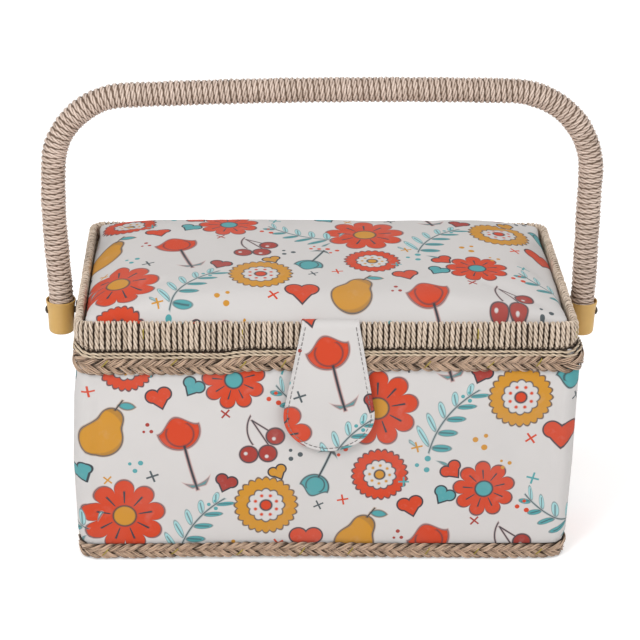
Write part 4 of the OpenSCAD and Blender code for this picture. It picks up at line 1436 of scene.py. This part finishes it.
def make_pocket(material, elastic_material):
    """The gathered pocket under the lid and its ribbed elastic."""
    low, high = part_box("lid_pocket")
    band_low, band_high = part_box("pocket_elastic")
    x0, x1, y0, y1 = low.x, high.x, band_low.y, high.y
    mesh = bmesh.new()
    bmesh.ops.create_grid(mesh, x_segments=220, y_segments=60, size=1)
    chance = random.Random(8)
    starts = [chance.uniform(0, TAU) for _ in range(3)]
    for vert in mesh.verts:
        u, v = (vert.co.x + 1) / 2, (vert.co.y + 1) / 2
        mouth = (1 - v) ** 1.6
        fold = math.sin(u * TAU * 17 + starts[0] + 1.2 * math.sin(u * 9 + starts[1]))
        fold += 0.4 * math.sin(u * TAU * 29 + starts[2])
        edge = min(u, 1 - u) * (x1 - x0)
        held = min(edge / (4 * MM), 1) * min((1 - v) * (y1 - y0) / (4 * MM), 1)
        puff = 1.3 * MM * (4 * u * (1 - u)) ** 0.4 * math.sin(min(v * 1.15, 1) * math.pi) * held
        drop = 0.35 * MM + puff + (0.55 * MM * (fold + 1.4) * mouth + 0.2 * MM) * held
        vert.co = (x0 + (x1 - x0) * u, y0 + (y1 - y0) * v, high.z - min(drop, high.z - low.z - 0.35 * MM))
    cloth = new_object("lid_pocket_cloth", mesh)
    modify(cloth, "SOLIDIFY", thickness=0.5 * MM, offset=0)
    finish_piece(cloth, "lid", "lining_cloth", material, "lid_pocket")
    mesh = bmesh.new()
    bmesh.ops.create_grid(mesh, x_segments=300, y_segments=16, size=1)
    half = (band_high.y - band_low.y) / 2
    for vert in mesh.verts:
        u, v = (vert.co.x + 1) / 2, vert.co.y
        rib = 0.1 * MM * math.sin(v * 7 * math.pi)
        wave = 0.16 * MM * math.sin(u * TAU * 34 + 0.6 * math.sin(u * 13))
        z = band_low.z + 0.35 * MM + rib + wave + 0.5 * MM * abs(v) ** 6
        vert.co = (x0 + (x1 - x0) * u, (band_low.y + band_high.y) / 2 + v * half, z)
    band = new_object("pocket_elastic_band", mesh)
    modify(band, "SOLIDIFY", thickness=0.7 * MM, offset=0)
    finish_piece(band, "lid", "elastic", elastic_material, "pocket_elastic")


def make_pincushion(material, band_material):
    """A felt dome drawn into eight segments by stitched grooves, on a narrow band."""
    low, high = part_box("pincushion")
    band_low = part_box("pincushion_band")[0]
    cx, cy = (low.x + high.x) / 2, (low.y + high.y) / 2
    r = (high.x - low.x) / 2
    tall = band_low.z - low.z
    mesh = bmesh.new()
    bmesh.ops.create_uvsphere(mesh, u_segments=96, v_segments=48, radius=1)
    gone = [vert for vert in mesh.verts if vert.co.z > 0.001]
    bmesh.ops.delete(mesh, geom=gone, context="VERTS")
    bmesh.ops.contextual_create(mesh, geom=open_edges(mesh))
    for vert in mesh.verts:
        angle = math.atan2(vert.co.y, vert.co.x)
        far = math.hypot(vert.co.x, vert.co.y)
        groove = abs(math.cos(angle * 4)) ** 24
        depth = 1 - 0.09 * groove * min(far * 2, 1)
        button = 1 - 0.3 * math.exp(-(far / 0.13) ** 2) if vert.co.z < -0.5 else 1
        waver = 1 + 0.012 * noise.noise(vert.co * 3)
        side = 0.985 if far > 0.9 else 1
        vert.co = (cx + vert.co.x * r * depth * waver * side, cy + vert.co.y * r * depth * waver * side,
            band_low.z + 0.3 * MM + vert.co.z * tall * depth * button * waver)
    bmesh.ops.recalc_face_normals(mesh, faces=mesh.faces)
    dome = new_object("pincushion_dome", mesh)
    finish_piece(dome, "lid", "pincushion_cloth", material, "pincushion")
    profile = [(r - 2 * MM, 0.0), (r - 0.3 * MM, -0.15 * MM), (r + 0.05 * MM, 0.5 * MM),
        (r, 1.4 * MM), (r - 0.4 * MM, 2 * MM), (r - 2 * MM, 2 * MM)]
    mesh = turned([(d, 0, z) for d, z in profile], (0, 0, 1), 96, closed=True)
    bmesh.ops.translate(mesh, verts=mesh.verts, vec=(cx, cy, band_low.z))
    band = new_object("pincushion_binding", mesh)
    modify(band, "SUBSURF", levels=1, render_levels=1)
    finish_piece(band, "lid", "pincushion_cloth", band_material, "pincushion_band")


# The tab

# Where the tab is cut from the print, in millimetres
TAB_PRINT = (58, 112)


class Tab:
    """The tab's flat cut, with its length walked from its hidden end, and the path that it is bent along."""

    def __init__(self):
        root_low, root_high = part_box("tab_root")
        front_low, front_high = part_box("tab_front")
        self.x = (front_low.x + front_high.x) / 2
        self.top = (root_high.x - root_low.x) / 2
        self.wide = (front_high.x - front_low.x) / 2
        self.y = (front_low.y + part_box("tab_back")[1].y) / 2
        tuck_y = root_high.y - 0.35 * MM
        over_z = RIM_TOP + 1.35 * MM
        corners = [(tuck_y, root_low.z + 1 * MM), (tuck_y, over_z), (self.y, over_z), (self.y, front_low.z)]
        line = np.array(rounded_line(corners, 3.2 * MM, 12))
        self.line = line
        self.walked = walk(line)
        self.length = self.walked[-1]
        self.tail = 9 * MM
        self.end = 21.4 * MM
        self.begin = self.length - (RIM_TOP - front_low.z)
        widest = self.length - self.end - self.begin
        self.side = math.asin((self.wide - self.top) / widest)
        self.widest = self.length - self.end

    def arc(self, share):
        """Points of the round end, from the left side over the end to the right side, share from -1 to 1."""
        turn = math.pi / 2 + self.side
        angle = np.asarray(share) * turn
        down = np.cos(angle)
        reach = np.where(down < 0, self.wide, self.end)
        return np.column_stack([self.wide * np.sin(angle), self.widest + reach * down])

    def outline(self, inset):
        """The cut's edge, moved in by a distance, from the left of the root round the end to the right."""
        round_end = self.arc(np.linspace(-1, 1, 121))
        start = np.array([[-self.top, self.begin]])
        line = np.vstack([start, round_end, start * [-1, 1]])
        ahead = np.gradient(line, axis=0)
        ahead /= np.hypot(*ahead.T)[:, None]
        return line + np.column_stack([ahead[:, 1], -ahead[:, 0]]) * inset

    def bent(self, x, s, lift):
        """Flat places carried onto the bent path and lifted off it."""
        step = 0.4 * MM
        before, here, after = (
            [np.interp(s + d, self.walked, self.line[:, k]) for k in (0, 1)] for d in (-step, 0, step))
        y, z = here
        dy = after[0] - before[0]
        dz = after[1] - before[1]
        size = np.maximum(np.hypot(dy, dz), 1e-9)
        sag = 0.25 * MM * np.cos(x / self.wide * 1.4) * np.clip((s - self.begin) / (20 * MM), 0, 1)
        return np.column_stack([self.x + x, y + dz / size * lift - sag, z - dy / size * lift])


def make_tab(material, thread):
    """The tab as one closed, sewn piece, with a pressed seam and its line of stitches inside the edge."""
    tab = Tab()
    inset = 2.1 * MM
    full = 1.25 * MM
    mesh = bmesh.new()
    bmesh.ops.create_grid(mesh, x_segments=64, y_segments=130, size=1)
    flat = np.array([vert.co for vert in mesh.verts])
    a = 0.6 * np.sin(flat[:, 0] * math.pi / 2) + 0.4 * flat[:, 0]
    t = (flat[:, 1] + 1) / 2
    b = 0.45 * np.sin(t * math.pi / 2) + 0.55 * t
    round_end = tab.arc(a)
    start = np.column_stack([a * tab.top, np.full(len(a), 0.0)])
    # The sides run straight down from the root's full width, then out to the round end
    cut = np.column_stack([a * tab.top, np.full(len(a), tab.begin)])
    tail_share = tab.begin / tab.length
    low = np.clip(b / tail_share, 0, 1)[:, None]
    high = np.clip((b - tail_share) / (1 - tail_share), 0, 1)[:, None]
    place = np.where(b[:, None] < tail_share, start + (cut - start) * low, cut + (round_end - cut) * high)
    edge = tab.outline(0)
    marks = np.linspace(0, len(edge) - 1, 1200)
    dense = np.column_stack([np.interp(marks, np.arange(len(edge)), edge[:, k]) for k in (0, 1)])
    tails = np.column_stack([np.full(60, tab.top), np.linspace(0, tab.begin, 60)])
    dense = np.vstack([dense, tails, tails * [-1, 1]])
    gap = np.min(np.hypot(place[:, :1] - dense[:, 0], place[:, 1:] - dense[:, 1]), axis=1)
    on_edge = (np.abs(flat[:, 0]) > 0.9999) | (flat[:, 1] > 0.9999)
    gap[on_edge] = 0
    round_over = np.sqrt(np.clip(1 - (1 - np.clip(gap / (0.9 * MM), 0, 1)) ** 2, 0, 1))
    seam = np.exp(-((gap - inset) / (0.42 * MM)) ** 2)
    hem = np.clip((inset - gap) / (0.5 * MM) + 1, 0, 1)
    half = full * (0.82 + 0.18 * hem) * (0.12 + 0.88 * round_over) - 0.42 * MM * seam
    soft = [noise.noise(Vector((p[0] * 55, p[1] * 55, 7))) * 0.16 * MM for p in place]
    grow = np.clip((place[:, 1] - tab.tail) / (5 * MM), 0, 1)
    half = half * (0.35 + 0.65 * grow)
    front = tab.bent(place[:, 0], place[:, 1], half + np.array(soft) * round_over * grow)
    back = tab.bent(place[:, 0], place[:, 1], -half)
    layer = mesh.loops.layers.uv.new("UVMap")
    mesh.verts.index_update()
    for face in mesh.faces:
        for corner in face.loops:
            k = corner.vert.index
            corner[layer].uv = (place[k, 0] / MM + TAB_PRINT[0], TAB_PRINT[1] - place[k, 1] / MM)
    made = bmesh.ops.duplicate(mesh, geom=mesh.verts[:] + mesh.edges[:] + mesh.faces[:])
    mesh.verts.index_update()
    mesh.verts.ensure_lookup_table()
    for k, spot in enumerate(np.vstack([front, back])):
        mesh.verts[k].co = spot
    copies = [g for g in made["geom"] if isinstance(g, bmesh.types.BMFace)]
    bmesh.ops.reverse_faces(mesh, faces=copies)
    bmesh.ops.bridge_loops(mesh, edges=open_edges(mesh))
    bmesh.ops.recalc_face_normals(mesh, faces=mesh.faces)
    strap = new_object("tab_strap", mesh)
    strap.data.materials.append(material)
    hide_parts("tab_root", "tab_front", "tab_back")
    line = tab.outline(inset)
    walked = walk(line)
    count = round(walked[-1] / (3.0 * MM))
    dashes = []
    for k in range(count):
        s = (k + np.array([0.12, 0.2, 0.5, 0.78, 0.86])) * walked[-1] / count
        x = np.interp(s, walked, line[:, 0])
        along = np.interp(s, walked, line[:, 1])
        lift = np.array([0.5, 0.85, 0.92, 0.85, 0.5]) * MM
        dashes.append(tab.bent(x, along, lift))
    stitches = tubes("tab_stitches", dashes, 0.27 * MM, sides=6)
    stitches.data.materials.append(thread)
    for piece in (strap, stitches):
        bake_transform(piece)


# Rigid pieces

def softened(node, width, body, slot, material, name):
    """A CAD node's shape with its sharp edges rounded."""
    mesh = bmesh.new()
    mesh.from_mesh(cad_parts[node].data)
    bmesh.ops.remove_doubles(mesh, verts=mesh.verts, dist=0.002 * MM)
    bmesh.ops.dissolve_limit(mesh, angle_limit=math.radians(0.5), verts=mesh.verts, edges=mesh.edges)
    sharp = [e for e in mesh.edges if len(e.link_faces) == 2 and e.calc_face_angle() > math.radians(40)]
    bmesh.ops.bevel(mesh, geom=sharp, offset=width, affect="EDGES", segments=2, profile=0.5, material=-1,
        clamp_overlap=True)
    thing = new_object(name, mesh)
    thing.data.set_sharp_from_angle(angle=math.radians(38))
    modify(thing, "WEIGHTED_NORMAL", keep_sharp=True)
    finish_piece(thing, body, slot, material, node)


def dress(node, material):
    """Gives a carried-over CAD node its material."""
    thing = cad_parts[node]
    thing.data.materials.clear()
    thing.data.materials.append(material)


# The padded lid

def pad_rise(x, y, half_x, half_y):
    """The share of the pad's crown at a place: nearly flat in the middle, with a wide roll at the sides."""
    share = (1 - np.abs(x / half_x) ** 5) * (1 - np.abs(y / half_y) ** 5)
    return np.clip(share, 0, 1) ** 0.6


def blow_up(pad, rest, foot, cap):
    """Lets air pressure round the cloth, held at its foot, and gives the places it comes to."""
    held = pad.vertex_groups.new(name="held")
    held.add([k for k, place in enumerate(rest) if place[2] < foot + 0.5 * MM], 1, "REPLACE")
    cloth = modify(pad, "CLOTH")
    cloth.settings.quality = 6
    cloth.settings.mass = 0.2
    cloth.settings.use_pressure = True
    cloth.settings.uniform_pressure_force = 3.2
    cloth.settings.tension_stiffness = 18
    cloth.settings.compression_stiffness = 18
    cloth.settings.bending_stiffness = 0.6
    cloth.settings.vertex_group_mass = "held"
    cloth.settings.effector_weights.gravity = 0
    scene = bpy.context.scene
    for number in range(1, 21):
        scene.frame_set(number)
    graph = bpy.context.evaluated_depsgraph_get()
    blown = np.array([vert.co for vert in pad.evaluated_get(graph).data.vertices])
    pad.modifiers.clear()
    scene.frame_set(1)
    moved = blown - rest
    size = np.linalg.norm(moved, axis=1)
    moved *= (np.minimum(size, cap) / np.maximum(size, 1e-9))[:, None]
    return rest + moved


def make_pad(material):
    """The lid's padded top, blown up from a crowned cloth and held at its foot."""
    x, y = pad_high.x, pad_high.y
    crown = 11.3 * MM
    start = RIM_TOP - 0.9 * MM
    foot = pad_low.z + 1.0 * MM
    mesh, places = flat_grid(x, y, 5.5 * MM, start, 3.6 * MM)
    share = 0.86
    rise = pad_rise(places[:, 0], places[:, 1], x, y) * crown * share
    for vert, up in zip(mesh.verts, rise):
        lump = noise.noise(Vector((vert.co.x * 24, vert.co.y * 24, 2))) * 0.5 * MM
        vert.co.z = start + up + lump * min(up / (4 * MM), 1)
    edges = open_edges(mesh)
    skirt = 4
    for _ in range(skirt):
        made = bmesh.ops.extrude_edge_only(mesh, edges=edges)["geom"]
        new_verts = [g for g in made if isinstance(g, bmesh.types.BMVert)]
        edges = [g for g in made if isinstance(g, bmesh.types.BMEdge) and g.is_boundary]
        bmesh.ops.translate(mesh, verts=new_verts, vec=(0, 0, (foot - start) / skirt))
    bmesh.ops.recalc_face_normals(mesh, faces=mesh.faces)
    pad = new_object("lid_pad_cloth", mesh)
    rest = np.array([vert.co for vert in pad.data.vertices])
    rest = blow_up(pad, rest, foot, 2.2 * MM)
    rest[:, 0] = np.clip(rest[:, 0], -x - 0.3 * MM, x + 0.3 * MM)
    rest[:, 1] = np.clip(rest[:, 1], -y - 0.1 * MM, y + 0.3 * MM)
    for vert, place in zip(pad.data.vertices, rest):
        vert.co = place
    modify(pad, "SUBSURF", levels=2, render_levels=2)
    apply_modifiers(pad)
    mesh = bmesh.new()
    mesh.from_mesh(pad.data)
    bmesh.ops.contextual_create(mesh, geom=open_edges(mesh))
    bmesh.ops.recalc_face_normals(mesh, faces=mesh.faces)
    mesh.to_mesh(pad.data)
    mesh.free()
    for face in pad.data.polygons:
        face.use_smooth = True
    finish_piece(pad, "lid", "cover_cloth", material, "lid_pad")


make_camera()
make_room()
make_groups()

wall_print = cloth_material("wall_print", uv_place)
lid_print = cloth_material("lid_print", object_place)
tab_print = cloth_material("tab_print", uv_place)
wall_lining_cotton = cloth_material("wall_lining_cotton", uv_place, False, LINING, 0.5)
flat_lining_cotton = cloth_material("flat_lining_cotton", object_place, False, LINING, 0.5)
coarse_cloth = cloth_material("coarse_cloth", object_place, False, (0.34, 0.28, 0.21), 1.1)
elastic_web = cloth_material("elastic_web", object_place, False, (0.5, 0.07, 0.025), 0.8)
red_felt = felt_material("red_felt", (0.56, 0.06, 0.02))
mustard_felt = felt_material("mustard_felt", (0.6, 0.3, 0.06))
pale_cord = cord_material("pale_cord", (0.62, 0.505, 0.4), (0.42, 0.32, 0.23), (0.09, 0.052, 0.028),
    0.36, 7, 0.6)
seam_twine = cord_material("seam_twine", (0.66, 0.54, 0.4), (0.42, 0.32, 0.22), (0.06, 0.035, 0.018),
    0.38, 220, 0.3)
braid_cord = cord_material("braid_cord", (0.47, 0.325, 0.225), (0.2, 0.125, 0.078), (0.04, 0.022, 0.011),
    0.28, 200, 0.5)
wound_cord = cord_material("wound_cord", (0.61, 0.48, 0.4), (0.36, 0.265, 0.205), (0.1, 0.062, 0.04),
    0.28, 2600, 0.46)
cord_shade = grained("cord_shade", (0.17, 0.11, 0.075), (0.1, 0.065, 0.042), 0.8, 900, 0.0001)
# Near-black painted shade, for the strips behind open cords and for the rim's core, which show between the
# cords.
painted_shade_backing = grained("painted_shade_backing", (0.04, 0.024, 0.014), (0.025, 0.014, 0.008), 0.9, 900, 0.0001)
fibreboard = grained("fibreboard", (0.4, 0.29, 0.17), (0.28, 0.19, 0.1), 0.85, 700, 0.00015)
thread = grained("stitch_thread", (0.4, 0.37, 0.34), (0.3, 0.27, 0.24), 0.7, 2500, 0.00005)
tab_thread = grained("tab_thread", (0.2, 0.185, 0.18), (0.12, 0.11, 0.11), 0.7, 2500, 0.00005)
ferrule_plastic = grained("ferrule_plastic", (0.63, 0.39, 0.12), (0.54, 0.32, 0.085), 0.36, 160, 0.00003)
washer_plastic = grained("washer_plastic", (0.12, 0.07, 0.03), (0.08, 0.045, 0.02), 0.5, 300, 0.00003)
tray_plastic = grained("tray_plastic", (0.8, 0.78, 0.72), (0.75, 0.73, 0.67), 0.34, 120, 0.00003)
brass = grained("hinge_brass", (0.6, 0.4, 0.14), (0.44, 0.27, 0.08), 0.32, 240, 0.00004, 0.9)
staple_brass = grained("staple_brass", (0.46, 0.36, 0.08), (0.24, 0.18, 0.03), 0.34, 900, 0.00003, 0.6)
steel = grained("plain_steel", (0.5, 0.5, 0.5), (0.42, 0.42, 0.42), 0.35, 300, 0.00004, 0.95)
bronze = grained("rivet_bronze", (0.06, 0.038, 0.022), (0.03, 0.018, 0.01), 0.36, 500, 0.00005, 0.5)

make_cover(wall_print)
make_pad(lid_print)
make_rim_cord(pale_cord)
make_seam_cords(seam_twine, painted_shade_backing)
make_plait("plait_top", top_braid_low.z, top_braid_high.z, braid_cord, painted_shade_backing, "top_braid", 31)
make_plait("plait_base", base_braid_low.z + 0.3 * MM, base_braid_high.z, braid_cord, painted_shade_backing,
    "base_braid", 41)
make_handle(wound_cord, cord_shade)
make_ferrules(ferrule_plastic)
make_rivets(bronze)
make_tab(tab_print, tab_thread)
staple_all(staple_brass)
make_wall_lining(wall_lining_cotton, thread)
make_base_cloth(coarse_cloth)
make_floor_pad(flat_lining_cotton)
make_lid_lining(flat_lining_cotton)
make_pocket(flat_lining_cotton, elastic_web)
make_pincushion(red_felt, mustard_felt)

softened("tray", 0.6 * MM, "tray", "tray_plastic", tray_plastic, "tray_moulding")
for side in ("left", "right"):
    softened(side + "_ledge", 0.5 * MM, "box", "board", fibreboard, side + "_ledge_strip")
    softened("box_hinge_leaf_" + side, 0.2 * MM, "box", "hinge_metal", brass, "box_hinge_plate_" + side)
    softened("lid_hinge_leaf_" + side, 0.2 * MM, "lid", "hinge_metal", brass, "lid_hinge_plate_" + side)
    dress("hinge_pin_" + side, brass)
softened("spacer_washers", 0.3 * MM, "box", "ferrule", washer_plastic, "spacer_rings")
for node in ("base_board", "front_board", "back_board", "left_board", "right_board", "corner_strips",
        "lid_board"):
    dress(node, fibreboard)
for node in ("rivet_plates", "tab_magnet", "tab_plate"):
    dress(node, steel)
for node in ("box_hinge_screws", "lid_hinge_screws"):
    dress(node, brass)
# The rim's core shows between the cord's turns and is coloured as painted shade.
dress("lid_rim_core", painted_shade_backing)
